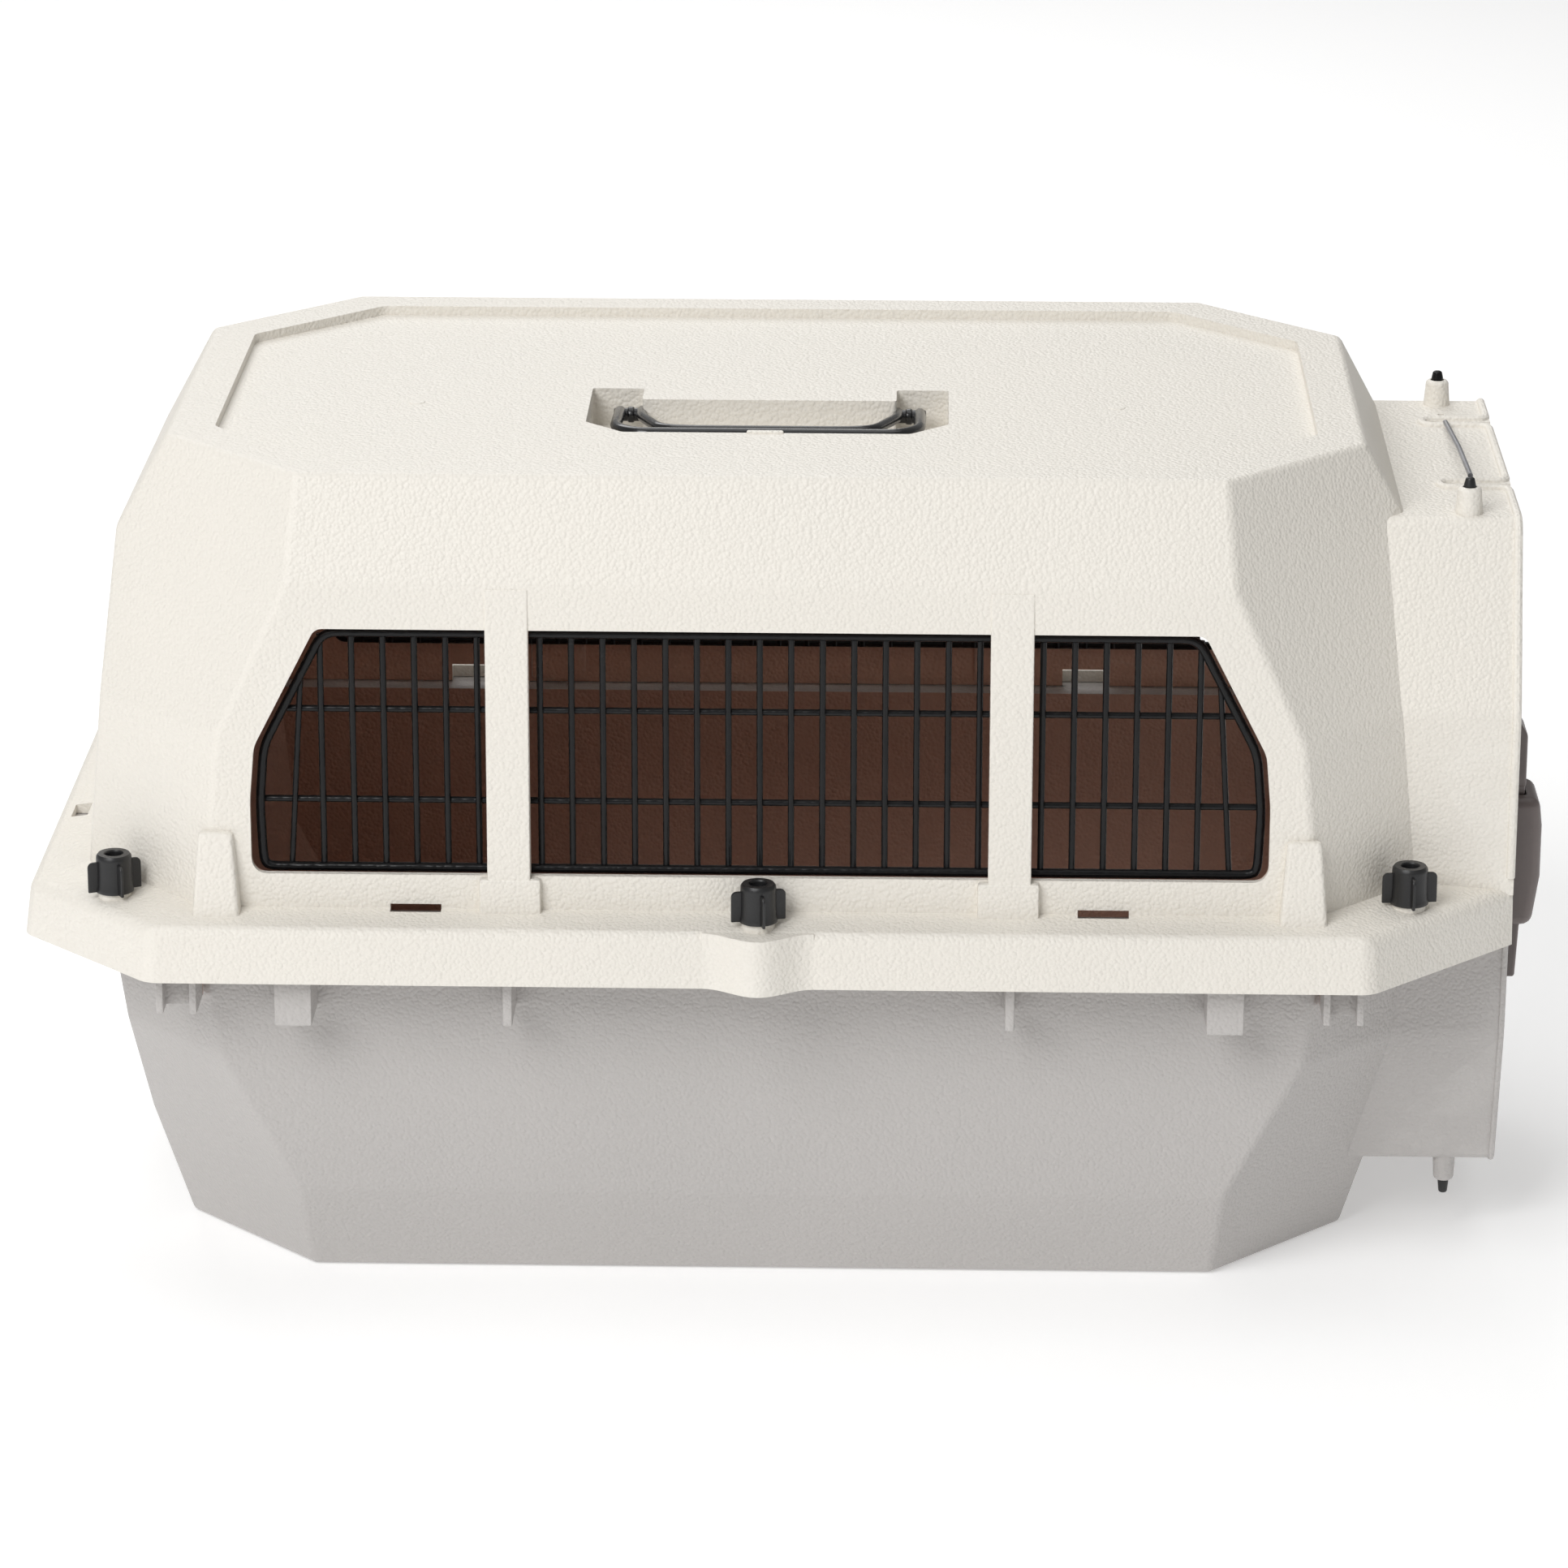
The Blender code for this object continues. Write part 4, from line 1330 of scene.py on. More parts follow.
@dataclass
class SqueezeLatch:
    """The latch on the door: a hollow grip with a slider above and below it, each driving a bolt rod.

    Attributes:
        middle_z: Height of its middle.
        left_y: Where the grip starts across the door.
        right_y: Where it ends.
        back_x: Plane of its open back.
        front_x: Plane of the face that the hand takes.
        channel_x: Plane that the grip is hollowed out to.
        spring_x: Where the springs run.
        grip_foot: Height of the grip's lower end.
        grip_top: Height of its upper end.
        wall: Thickness of the grip's sides.
    """

    middle_z: float = 0.175
    left_y: float = -0.101
    right_y: float = -0.070
    back_x: float = 0.2900
    front_x: float = 0.3200
    channel_x: float = 0.3136
    spring_x: float = 0.2986
    grip_foot: float = 0.1450
    grip_top: float = 0.2005
    wall: float = 0.0060

    def grip(self) -> bpy.types.Object:
        """Builds the grip, bulged towards the hand and hollow behind.

        Returns:
            The grip.
        """
        y0, y1, z0, z1 = self.left_y, self.right_y, self.grip_foot, self.grip_top
        body = hewn(
            "latch_grip",
            [
                upright(0.0, self.front_x),
                slant(0.0, (self.front_x - 0.0030, z0), (self.front_x + 0.0004, z0 + 0.024)),
                slant(0.0, (self.front_x + 0.0004, z1 - 0.016), (self.front_x - 0.0014, z1)),
                upright(180.0, -self.back_x + OUT_OF_THE_WAY),
                level(z1),
                level(z0, up=False),
                *between(y0, y1),
            ],
        )
        soften(body, 0.0042, segments=5, over=20)
        trim(body, [upright(180.0, -self.back_x)])
        channel = brick(
            "latch_channel",
            (self.back_x - CLEAR, y0 + self.wall, z0 - 2 * CLEAR),
            (self.channel_x, y1 - self.wall, z1 + 2 * CLEAR),
        )
        boolean(body, [soften(channel, 0.0008, 2)], Cut.REMOVE)
        web_half = 0.0040
        web = brick(
            "latch_web",
            (self.back_x + 0.0002, y0 + web_half, self.middle_z - web_half),
            (self.channel_x + 0.0006, y1 - web_half, self.middle_z + web_half),
        )
        boolean(body, [web], Cut.ADD)
        return smooth(body, 40)

    def slider(self, sign: int) -> bpy.types.Object:
        """Builds a slider with the crank that reaches its bolt rod.

        Args:
            sign: 1 for the upper slider and -1 for the lower.

        Returns:
            The slider.
        """
        upper = sign > 0
        near, far = self.middle_z + sign * 0.0285, self.middle_z + sign * (0.0590 if upper else 0.0545)
        y0, y1 = self.left_y + self.wall + 0.0003, self.right_y - self.wall - 0.0003
        face_x = self.channel_x - 0.0004
        chamfer = slant(0.0, (face_x, far - 0.0080), (self.channel_x - 0.0054, far))
        lean = slant(0.0, (self.channel_x - 0.0020, far), (self.channel_x - 0.0008, near))
        half = hewn(
            "slider_block",
            [upright(180.0, -(self.back_x + 0.0005)), upright(0.0, face_x)]
            + [level(max(near, far)), level(min(near, far), up=False)]
            + [*between(y0, y1), chamfer if upper else lean],
        )
        soften(half, 0.0012)
        low, high = sorted((self.middle_z + sign * 0.0450, far - sign * 0.0004))
        crank_half = 0.0030
        crank = brick(
            "crank",
            (ROD_X - 0.0026, -ROD_Y - crank_half, low),
            (self.back_x + 0.0030, -ROD_Y + crank_half, high),
        )
        low, high = sorted((near - sign * 0.0034, near + sign * 0.0040))
        finger = brick(
            "finger_step",
            (self.channel_x - 0.0056, y0 + 0.0004, low),
            (self.channel_x - 0.0008, y1 - 0.0004, high),
        )
        boolean(half, [soften(crank, 0.0006, 2), soften(finger, 0.0008, 2)], Cut.ADD)
        half.name = half.data.name = f"latch_{'upper' if upper else 'lower'}_slider_moulding"
        return smooth(half, 40)

    def bolt_rod(self, sign: int) -> bpy.types.Object:
        """Builds a bolt rod with its rounded tip.

        Args:
            sign: 1 for the upper one and -1 for the lower one.

        Returns:
            The rod.
        """
        start = self.middle_z + sign * 0.0535
        tip, cap = (0.3330, 0.0040) if sign > 0 else (0.0204, 0.0062)
        end, lap = tip - sign * cap, 2 * HAIR
        shaft = turned("shaft", (ROD_X, -ROD_Y, min(start, end)), abs(end - start), 0.0023, sides=20)
        if sign > 0:
            head = turned("cap", (ROD_X, -ROD_Y, end - lap), cap + lap, 0.0027, 0.0017)
        else:
            head = turned("cap", (ROD_X, -ROD_Y, tip), cap + lap, 0.0018, 0.0024)
        name = f"latch_{'upper' if sign > 0 else 'lower'}_bolt_rod"
        return smooth(gather(name, [shaft, soften(head, 0.0009, over=40)]), 50)

    def spring(self, sign: int) -> bpy.types.Object:
        """Builds a coil spring between the grip's web and a slider.

        Args:
            sign: 1 for the upper one and -1 for the lower one.

        Returns:
            The spring.
        """
        start, end = self.middle_z + sign * 0.0046, self.middle_z + sign * 0.0280
        x, turns, per_turn, radius = self.spring_x, 7, 12, 0.0030
        route = []
        for step in range(turns * per_turn + 1):
            turn = 2 * math.pi * step / per_turn
            part = step / (turns * per_turn)
            height = start + sign * 0.0004 + (end - start - sign * 0.0008) * part
            route.append((x + radius * math.cos(turn), radius * math.sin(turn) - ROD_Y, height))
        name = f"latch_{'upper' if sign > 0 else 'lower'}_coil_spring"
        return smooth(wire(name, route, 0.00045, roundness=1), 60)


@dataclass
class StrapHandle:
    """The folding strap handle: two rails joined by a web, open in both corners, on a barrel at each end.

    Attributes:
        grip_y: Where the grip is when the handle is folded.
        grip_z: Its height there.
        outer: Right half of the outer rail's route, as x and y.
        inner: Right half of the inner rail's route.
        barrel_x: Distance of the barrels from the middle.
        barrel_half: Half a barrel's length.
    """

    grip_y: float = -0.0585
    grip_z: float = 0.3405
    outer: tuple[Step, ...] = ((0.0628, -0.0062), (0.0628, -0.0480), (0.0545, -0.0608), (0.0440, -0.0608))
    inner: tuple[Step, ...] = ((0.0535, -0.0062), (0.0535, -0.0200), (0.0440, -0.0520), (0.0330, -0.0556))
    barrel_x: float = 0.0582
    barrel_half: float = 0.0072

    def height(self, y: float) -> float:
        """Gives the strap's height at a place across, on the slope from its pivots to its grip."""
        return PIVOT_Z + (PIVOT_Y - y) * (self.grip_z - PIVOT_Z) / (PIVOT_Y - self.grip_y)

    def rail(
        self, name: str, half: tuple[Step, ...], radius: float, lift: float, bend: float
    ) -> bpy.types.Object:
        """Bends one rail of the strap along the right half of a route and its mirror image.

        Args:
            name: The object's name.
            half: Right half of the route, as x and y.
            radius: The wire's radius.
            lift: How far it lies above the strap's slope.
            bend: How far from a corner the bend starts.

        Returns:
            The rail.
        """
        route = [(x, y, self.height(y) + lift) for x, y in half]
        route += [(-x, y, self.height(y) + lift) for x, y in reversed(half)]
        return wire(name, route, radius, bend=bend, roundness=3)

    def build(self) -> bpy.types.Object:
        """Builds the whole handle.

        Returns:
            The finished piece.
        """
        pieces = [
            self.rail("outer_rail", self.outer, 0.0025, 0.0012, 0.010),
            self.rail("inner_rail", self.inner, 0.0022, 0.0017, 0.007),
        ]
        web = brick("strap_web", (-0.0430, -0.0612, -0.0010), (0.0430, -0.0555, 0.0022))
        for vert in web.data.vertices:
            vert.co.z += self.height(vert.co.y)
        pieces.append(soften(web, 0.0004, 2))
        for end in BOTH:
            x = end * self.barrel_x
            for label, half, radius, edge in (
                ("barrel", self.barrel_half, 0.0028, 0.0008),
                ("barrel_knob", 0.0015, 0.0034, 0.0009),
            ):
                made = turned(label, (x - half, PIVOT_Y, PIVOT_Z), 2 * half, radius, sides=28, axis="X")
                pieces.append(soften(made, edge, over=40))
        return smooth(gather("carry_handle_strap", pieces), 50)


@dataclass
class WingNut:
    """A black wing nut with four thin fins round a waisted hub.

    Attributes:
        height: Height of the hub.
        fin_height: Height of the fins.
        fin_half: Half a fin's thickness.
        hub: Radius of the hub's foot.
        reach: Distance of the fins' outer edges from the axis.
        bore: Radius of the bore.
    """

    height: float = 0.0158
    fin_height: float = 0.0128
    fin_half: float = 0.00115
    hub: float = 0.0078
    reach: float = 0.0112
    bore: float = 0.0033

    def build(self) -> bpy.types.Object:
        """Builds the nut at the origin, with its faces still flat, to be copied to each bolt.

        Returns:
            The finished piece.
        """
        hub, fin = self.waisted_hub(), self.fin()
        fins = [fin, *[copied(fin, "fin", turn=math.radians(90 * quarter)) for quarter in (1, 2, 3)]]
        boolean(hub, fins, Cut.ADD)
        bore = turned("bore", (0, 0, -0.002), self.height + 0.004, self.bore)
        mouth = turned("mouth", (0, 0, self.height - 0.0009), 0.002, self.bore, self.bore + 0.0016)
        boolean(hub, [bore, mouth], Cut.REMOVE)
        return hub

    def waisted_hub(self) -> bpy.types.Object:
        """Turns the hub: a foot flange, a slight waist and a chamfered top.

        Returns:
            The hub.
        """
        deselect()
        bpy.ops.mesh.primitive_circle_add(vertices=40, radius=self.hub, fill_type="NGON", location=(0, 0, 0))
        hub = fix_place(bpy.context.object)
        pick(hub)
        bpy.ops.object.mode_set(mode="EDIT")
        bpy.ops.mesh.select_all(action="SELECT")
        foot, waist = ((0.0014, 1.0), (0.0010, 0.955)), ((0.0045, 0.975), (0.0067, 1.0))
        rings = (*foot, *waist, (0.0012, 0.985), (0.0010, 0.90))
        for rise, swell in rings:
            bpy.ops.mesh.extrude_region_move(TRANSFORM_OT_translate={"value": (0, 0, rise)})
            bpy.ops.transform.resize(value=(swell, swell, 1.0))
        return face_outwards(hub)

    def fin(self) -> bpy.types.Object:
        """Builds a fin with its outer top corner rounded and its edges thinned.

        Returns:
            The fin.
        """
        near = 5 * HAIR
        cheeks = [
            (Vector((0, way * self.fin_half, 0)), Vector((0.05, way, 0)).normalized()) for way in (1, -1)
        ]
        fin = hewn(
            "fin",
            [
                (Vector((self.reach, 0, 0)), Vector((1, 0, 0))),
                (Vector((0.004, 0, 0)), Vector((-1, 0, 0))),
                *cheeks,
                level(self.fin_height),
                level(0.0, up=False),
            ],
            around=(0.0, 0.0, 0.0),
        )
        pick(fin)
        bpy.ops.object.mode_set(mode="EDIT")
        bpy.ops.mesh.select_mode(type="EDGE")
        bpy.ops.mesh.select_all(action="DESELECT")
        bpy.ops.object.mode_set(mode="OBJECT")
        for edge in fin.data.edges:
            ends = [fin.data.vertices[index].co for index in edge.vertices]
            edge.select = all(end.x > self.reach - near and end.z > self.fin_height - near for end in ends)
        bpy.ops.object.mode_set(mode="EDIT")
        bpy.ops.mesh.bevel(offset=0.0022, segments=5, affect="EDGES")
        bpy.ops.mesh.select_mode(type="VERT")
        bpy.ops.object.mode_set(mode="OBJECT")
        return soften(fin, 0.0004, 2, over=50)


@dataclass
class CarriageBolt:
    """A bolt whose threaded end shows in its nut.

    Attributes:
        foot_z: Height of its head's lower face.
        head: Height, foot radius and top radius of the head.
        shank: Radius of the shank.
        stand: How far it stands up above the nut's seat.
        thread: Radius of the thread's centre line, and radius of its ridge.
        pitch: Rise of the thread in one turn.
        turns: How many turns the thread has.
    """

    foot_z: float = 0.1589
    head: tuple[float, float, float] = (0.0027, 0.0042, 0.0065)
    shank: float = 0.0025
    stand: float = 0.0120
    thread: Step = (0.0026, 0.0003)
    pitch: float = 0.0010
    turns: int = 9

    def build(self, seat_z: float) -> bpy.types.Object:
        """Builds the bolt on the vertical axis, with its faces still flat, to be copied to each hole.

        Args:
            seat_z: Height of the nut's seat.

        Returns:
            The finished piece.
        """
        top, shank_z, per_turn = seat_z + self.stand, self.foot_z + 0.002, 12
        radius, ridge = self.thread
        head = soften(turned("bolt_head", (0.0, 0.0, self.foot_z), *self.head), 0.0008, over=30)
        shank = soften(turned("shank", (0.0, 0.0, shank_z), top - shank_z, self.shank), 0.0005, 2, over=40)
        route = []
        for step in range(self.turns * per_turn):
            turn = 2 * math.pi * step / per_turn
            height = top - 0.0006 - self.pitch * step / per_turn
            route.append((radius * math.cos(turn), radius * math.sin(turn), height))
        return gather("bolt_model", [head, shank, wire("thread", route, ridge, roundness=0)])


@dataclass
class TieRod:
    """The thin steel rod that lies over the door box, from a slot to the bolt rod's cap.

    Attributes:
        x: Where it lies.
        ends: Its far and near end, as y and height.
        radius: Its radius.
    """

    x: float = 0.2872
    ends: tuple[Step, Step] = ((0.0520, 0.3194), (-0.0814, 0.3325))
    radius: float = 0.0011

    def build(self) -> bpy.types.Object:
        """Bends the rod, a little bowed, with its far end turned down into the slot.

        Returns:
            The finished piece.
        """
        (far, low), (near, high) = self.ends
        middle = (self.x + 0.0004, (far + near) / 2, (low + high) / 2)
        hook = (self.x, far + 0.0004, low - 0.0060)
        route = [hook, (self.x, far, low), middle, (self.x - 0.0006, near, high)]
        return smooth(wire("steel_tie_rod", route, self.radius, bend=0.003, roundness=3), 50)


@dataclass
class HingePin:
    """A stub pin between the pocket's inner wall and the handle's barrel, with a collar at the wall.

    Attributes:
        pin: Distance of both ends from the middle.
        pin_radius: Radius of the pin.
        collar: Distance of both faces of the collar from the middle.
        collar_radius: Radius of the collar.
    """

    pin: Step = (0.0508, 0.0648)
    pin_radius: float = 0.0020
    collar: Step = (0.0526, 0.0538)
    collar_radius: float = 0.0030

    def build(self, name: str, side: int) -> bpy.types.Object:
        """Builds the pin on one side of the handle.

        Args:
            name: The object's name.
            side: -1 for the front and 1 for the back.

        Returns:
            The finished piece.
        """
        pieces = []
        for label, reach, radius, sides, edge in (
            ("pin", self.pin, self.pin_radius, 20, 0.0004),
            ("pin_collar", self.collar, self.collar_radius, 24, 0.0003),
        ):
            start, end = sorted(side * x for x in reach)
            made = turned(label, (start, PIVOT_Y, PIVOT_Z), end - start, radius, sides=sides, axis="X")
            pieces.append(soften(made, edge, 2, over=40))
        return smooth(gather(name, pieces), 50)


# ---------------------------------------------------------------- finishes


@dataclass(frozen=True)
class Finish:
    """A surface finish.

    Attributes:
        name: The material's name.
        colour: Main colour, linear.
        tint: Colour that it drifts towards in patches, linear.
        roughness: How rough the surface is.
        drift: How strongly colour and roughness vary.
        pebble: Distance between the grain's pebbles.
        relief: Height of the grain.
        rub: Colour where edges are rubbed, linear.
        rubbing: How strongly the edges are rubbed.
        dust: How much fine dust lies on faces that look up.
        metallic: Whether it is bare metal.
        coat: Weight of a clear gloss coat.
        specular: Level of its mirror-like reflection.
        cabin: Colour of the painted shade inside the cabin, warmer and darker than the outer colour, linear,
            or None where there is no inside.
        cabin_half: Half the cabin's width at this moulding.
    """

    name: str
    colour: Colour
    tint: Colour
    roughness: float
    drift: float
    pebble: float
    relief: float
    rub: Colour
    rubbing: float
    dust: float = 0.0
    metallic: float = 0.0
    coat: float = 0.0
    specular: float = 0.5
    cabin: Colour | None = None
    cabin_half: float = 0.16

    def make(self, groups: "FinishGroups") -> bpy.types.Material:
        """Builds the material from the shared groups.

        Args:
            groups: The node groups that every finish uses.

        Returns:
            The material.
        """
        material = bpy.data.materials.new(self.name)
        material.use_nodes = True
        nodes, links = material.node_tree.nodes, material.node_tree.links
        shader = nodes["Principled BSDF"]
        shader.inputs["Metallic"].default_value = self.metallic
        shader.inputs["Coat Weight"].default_value = self.coat
        shader.inputs["Specular IOR Level"].default_value = self.specular
        shader.inputs["Coat Roughness"].default_value = 0.08
        place = nodes.new("ShaderNodeTexCoord").outputs["Object"]
        patches = self.use(nodes, groups.patches)
        links.new(place, patches.inputs["Place"])
        patches.inputs["Colour"].default_value = (*self.colour, 1.0)
        patches.inputs["Tint"].default_value = (*self.tint, 1.0)
        patches.inputs["Drift"].default_value = self.drift
        patches.inputs["Roughness"].default_value = self.roughness
        rubbed = self.use(nodes, groups.rubbed_edges)
        links.new(place, rubbed.inputs["Place"])
        links.new(self.painted_cabin_shade(nodes, links, groups, place, patches.outputs["Colour"]), rubbed.inputs["Colour"])
        rubbed.inputs["Rub"].default_value = (*self.rub, 1.0)
        rubbed.inputs["Strength"].default_value = self.rubbing
        dusty = self.use(nodes, groups.dust)
        links.new(place, dusty.inputs["Place"])
        links.new(rubbed.outputs["Colour"], dusty.inputs["Colour"])
        links.new(patches.outputs["Roughness"], dusty.inputs["Roughness"])
        dusty.inputs["Amount"].default_value = self.dust
        links.new(dusty.outputs["Colour"], shader.inputs["Base Color"])
        links.new(dusty.outputs["Roughness"], shader.inputs["Roughness"])
        grain = self.use(nodes, groups.pebble_grain)
        links.new(place, grain.inputs["Place"])
        grain.inputs["Pebble"].default_value = self.pebble
        bump = nodes.new("ShaderNodeBump")
        bump.inputs["Strength"].default_value = 1.0
        bump.inputs["Distance"].default_value = self.relief
        links.new(grain.outputs["Height"], bump.inputs["Height"])
        links.new(bump.outputs["Normal"], shader.inputs["Normal"])
        return material

    def painted_cabin_shade(
        self,
        nodes: bpy.types.Nodes,
        links: bpy.types.NodeLinks,
        groups: "FinishGroups",
        place: bpy.types.NodeSocket,
        colour: bpy.types.NodeSocket,
    ) -> bpy.types.NodeSocket:
        """Gives the colour with painted shade blended in on the faces that look into the cabin: a warmer,
        darker colour that stands in for the shade inside.

        Args:
            nodes: The material's nodes.
            links: The material's links.
            groups: The node groups that every finish uses.
            place: The socket that gives the place on the piece.
            colour: The socket that gives the outer colour.

        Returns:
            The socket that gives the blended colour.
        """
        if self.cabin is None:
            return colour
        # Painted shade: a darker, warmer colour blended onto the faces inside the cabin.
        cabin = self.use(nodes, groups.cabin_painted_shade)
        cabin.inputs["Half Width"].default_value = self.cabin_half
        links.new(place, cabin.inputs["Place"])
        links.new(colour, cabin.inputs["Colour"])
        cabin.inputs["Skin"].default_value = (*self.cabin, 1.0)
        return cabin.outputs["Colour"]

    @staticmethod
    def use(nodes: bpy.types.Nodes, group: bpy.types.ShaderNodeTree) -> bpy.types.ShaderNodeGroup:
        """Places a shared group in a material.

        Args:
            nodes: The material's nodes.
            group: The group to place.

        Returns:
            The group's node.
        """
        node = nodes.new("ShaderNodeGroup")
        node.node_tree = group
        return node


class FinishGroups:
    """The shader groups that the finishes share, each built once."""

    def __init__(self) -> None:
        """Builds every group."""
        self.pebble_grain = self.build_pebble_grain()
        self.patches = self.build_patches()
        self.rubbed_edges = self.build_rubbed_edges()
        self.dust = self.build_dust()
        self.cabin_painted_shade = self.build_cabin_painted_shade()

    @staticmethod
    def start(name: str, inputs: dict[str, str], outputs: dict[str, str]) -> bpy.types.ShaderNodeTree:
        """Starts a group with its sockets.

        Args:
            name: The group's name.
            inputs: Each input's name and socket type.
            outputs: Each output's name and socket type.

        Returns:
            The group, with its input and output nodes.
        """
        tree = bpy.data.node_groups.new(name, "ShaderNodeTree")
        for in_out, sockets in (("INPUT", inputs), ("OUTPUT", outputs)):
            for label, kind in sockets.items():
                tree.interface.new_socket(name=label, in_out=in_out, socket_type=f"NodeSocket{kind}")
        tree.nodes.new("NodeGroupInput").name = "in"
        tree.nodes.new("NodeGroupOutput").name = "out"
        return tree

    @staticmethod
    def noise(
        tree: bpy.types.ShaderNodeTree, place: bpy.types.NodeSocket, scale: float, detail: float
    ) -> bpy.types.NodeSocket:
        """Adds a noise and gives its value.

        Args:
            tree: The group's node tree.
            place: The socket that gives the place on the piece.
            scale: The noise's scale.
            detail: Its detail.

        Returns:
            The socket that gives the noise.
        """
        node = tree.nodes.new("ShaderNodeTexNoise")
        node.inputs["Scale"].default_value = scale
        node.inputs["Detail"].default_value = detail
        tree.links.new(place, node.inputs["Vector"])
        return node.outputs["Fac"]

    @staticmethod
    def ramp(
        tree: bpy.types.ShaderNodeTree,
        value: bpy.types.NodeSocket,
        low: float,
        high: float,
        to: Step = (0.0, 1.0),
    ) -> bpy.types.NodeSocket:
        """Maps a value from one range to another, clamped and eased.

        Args:
            tree: The group's node tree.
            value: The socket to map.
            low: The lower end of the range.
            high: The upper end of the range.
            to: The range that it is mapped to.

        Returns:
            The socket that gives the mapped value.
        """
        node = tree.nodes.new("ShaderNodeMapRange")
        node.interpolation_type = "SMOOTHSTEP"
        for label, number in zip(("From Min", "From Max", "To Min", "To Max"), (low, high, *to)):
            node.inputs[label].default_value = number
        tree.links.new(value, node.inputs["Value"])
        return node.outputs["Result"]

    @staticmethod
    def maths(
        tree: bpy.types.ShaderNodeTree,
        operation: str,
        first: bpy.types.NodeSocket,
        second: bpy.types.NodeSocket | float = 0.0,
    ) -> bpy.types.NodeSocket:
        """Adds a math node.

        Args:
            tree: The group's node tree.
            operation: The operation of the node.
            first: The first input.
            second: The second input, a socket or a fixed value.

        Returns:
            The socket that gives the result.
        """
        node = tree.nodes.new("ShaderNodeMath")
        node.operation = operation
        tree.links.new(first, node.inputs[0])
        if isinstance(second, float):
            node.inputs[1].default_value = second
        else:
            tree.links.new(second, node.inputs[1])
        return node.outputs[0]

    @staticmethod
    def blend(
        tree: bpy.types.ShaderNodeTree,
        share: bpy.types.NodeSocket,
        first: bpy.types.NodeSocket,
        second: bpy.types.NodeSocket | Colour,
    ) -> bpy.types.NodeSocket:
        """Blends two colours.

        Args:
            tree: The group's node tree.
            share: How much of the second is taken.
            first: The first input.
            second: The second input, a socket or a fixed value.

        Returns:
            The socket that gives the blend.
        """
        node = tree.nodes.new("ShaderNodeMix")
        node.data_type = "RGBA"
        tree.links.new(share, node.inputs["Factor"])
        tree.links.new(first, node.inputs["A"])
        if isinstance(second, tuple):
            node.inputs["B"].default_value = (*second, 1.0)
        else:
            tree.links.new(second, node.inputs["B"])
        return node.outputs["Result"]

    def build_pebble_grain(self) -> bpy.types.ShaderNodeTree:
        """Builds the moulded grain: rounded pebbles of uneven size with fine creases between them.

        Returns:
            The group.
        """
        tree = self.start("pebble_grain", {"Place": "Vector", "Pebble": "Float"}, {"Height": "Float"})
        given, result = tree.nodes["in"].outputs, tree.nodes["out"].inputs
        sized = tree.nodes.new("ShaderNodeVectorMath")
        sized.operation = "DIVIDE"
        tree.links.new(given["Place"], sized.inputs[0])
        spread = tree.nodes.new("ShaderNodeCombineXYZ")
        for axis in range(3):
            tree.links.new(given["Pebble"], spread.inputs[axis])
        tree.links.new(spread.outputs[0], sized.inputs[1])
        pebbles = tree.nodes.new("ShaderNodeTexVoronoi")
        pebbles.feature = "SMOOTH_F1"
        pebbles.inputs["Scale"].default_value = 1.0
        pebbles.inputs["Smoothness"].default_value = 0.35
        tree.links.new(sized.outputs[0], pebbles.inputs["Vector"])
        domes = self.ramp(tree, pebbles.outputs["Distance"], 0.15, 0.95, (1.0, 0.0))
        wander = self.noise(tree, sized.outputs[0], 0.55, 3.0)
        height = self.maths(tree, "ADD", domes, self.maths(tree, "MULTIPLY", wander, 1.1))
        tree.links.new(height, result["Height"])
        return tree

    def build_patches(self) -> bpy.types.ShaderNodeTree:
        """Builds the slow drift of colour and roughness that a moulding picks up in use.

        Returns:
            The group.
        """
        tree = self.start(
            "flow_patches",
            {"Place": "Vector", "Colour": "Color", "Tint": "Color", "Drift": "Float", "Roughness": "Float"},
            {"Colour": "Color", "Roughness": "Float"},
        )
        given, result = tree.nodes["in"].outputs, tree.nodes["out"].inputs
        clouds = self.ramp(tree, self.noise(tree, given["Place"], 7.0, 3.0), 0.32, 0.68)
        specks = self.ramp(tree, self.noise(tree, given["Place"], 420.0, 2.0), 0.30, 0.70)
        most = self.maths(tree, "MULTIPLY", clouds, 0.65)
        both = self.maths(tree, "ADD", most, self.maths(tree, "MULTIPLY", specks, 0.35))
        share = self.maths(tree, "MULTIPLY", both, given["Drift"])
        tree.links.new(self.blend(tree, share, given["Colour"], given["Tint"]), result["Colour"])
        lift = self.maths(tree, "MULTIPLY", share, 0.16)
        tree.links.new(self.maths(tree, "ADD", given["Roughness"], lift), result["Roughness"])
        return tree

    def build_rubbed_edges(self) -> bpy.types.ShaderNodeTree:
        """Builds the lighter rub along sharp outer edges.

        Returns:
            The group.
        """
        tree = self.start(
            "rubbed_edges",
            {"Place": "Vector", "Colour": "Color", "Rub": "Color", "Strength": "Float"},
            {"Colour": "Color"},
        )
        given, result = tree.nodes["in"].outputs, tree.nodes["out"].inputs
        edges = self.ramp(tree, tree.nodes.new("ShaderNodeNewGeometry").outputs["Pointiness"], 0.52, 0.60)
        broken = self.ramp(tree, self.noise(tree, given["Place"], 60.0, 4.0), 0.35, 0.65)
        mask = self.maths(tree, "MULTIPLY", self.maths(tree, "MULTIPLY", edges, broken), given["Strength"])
        tree.links.new(self.blend(tree, mask, given["Colour"], given["Rub"]), result["Colour"])
        return tree

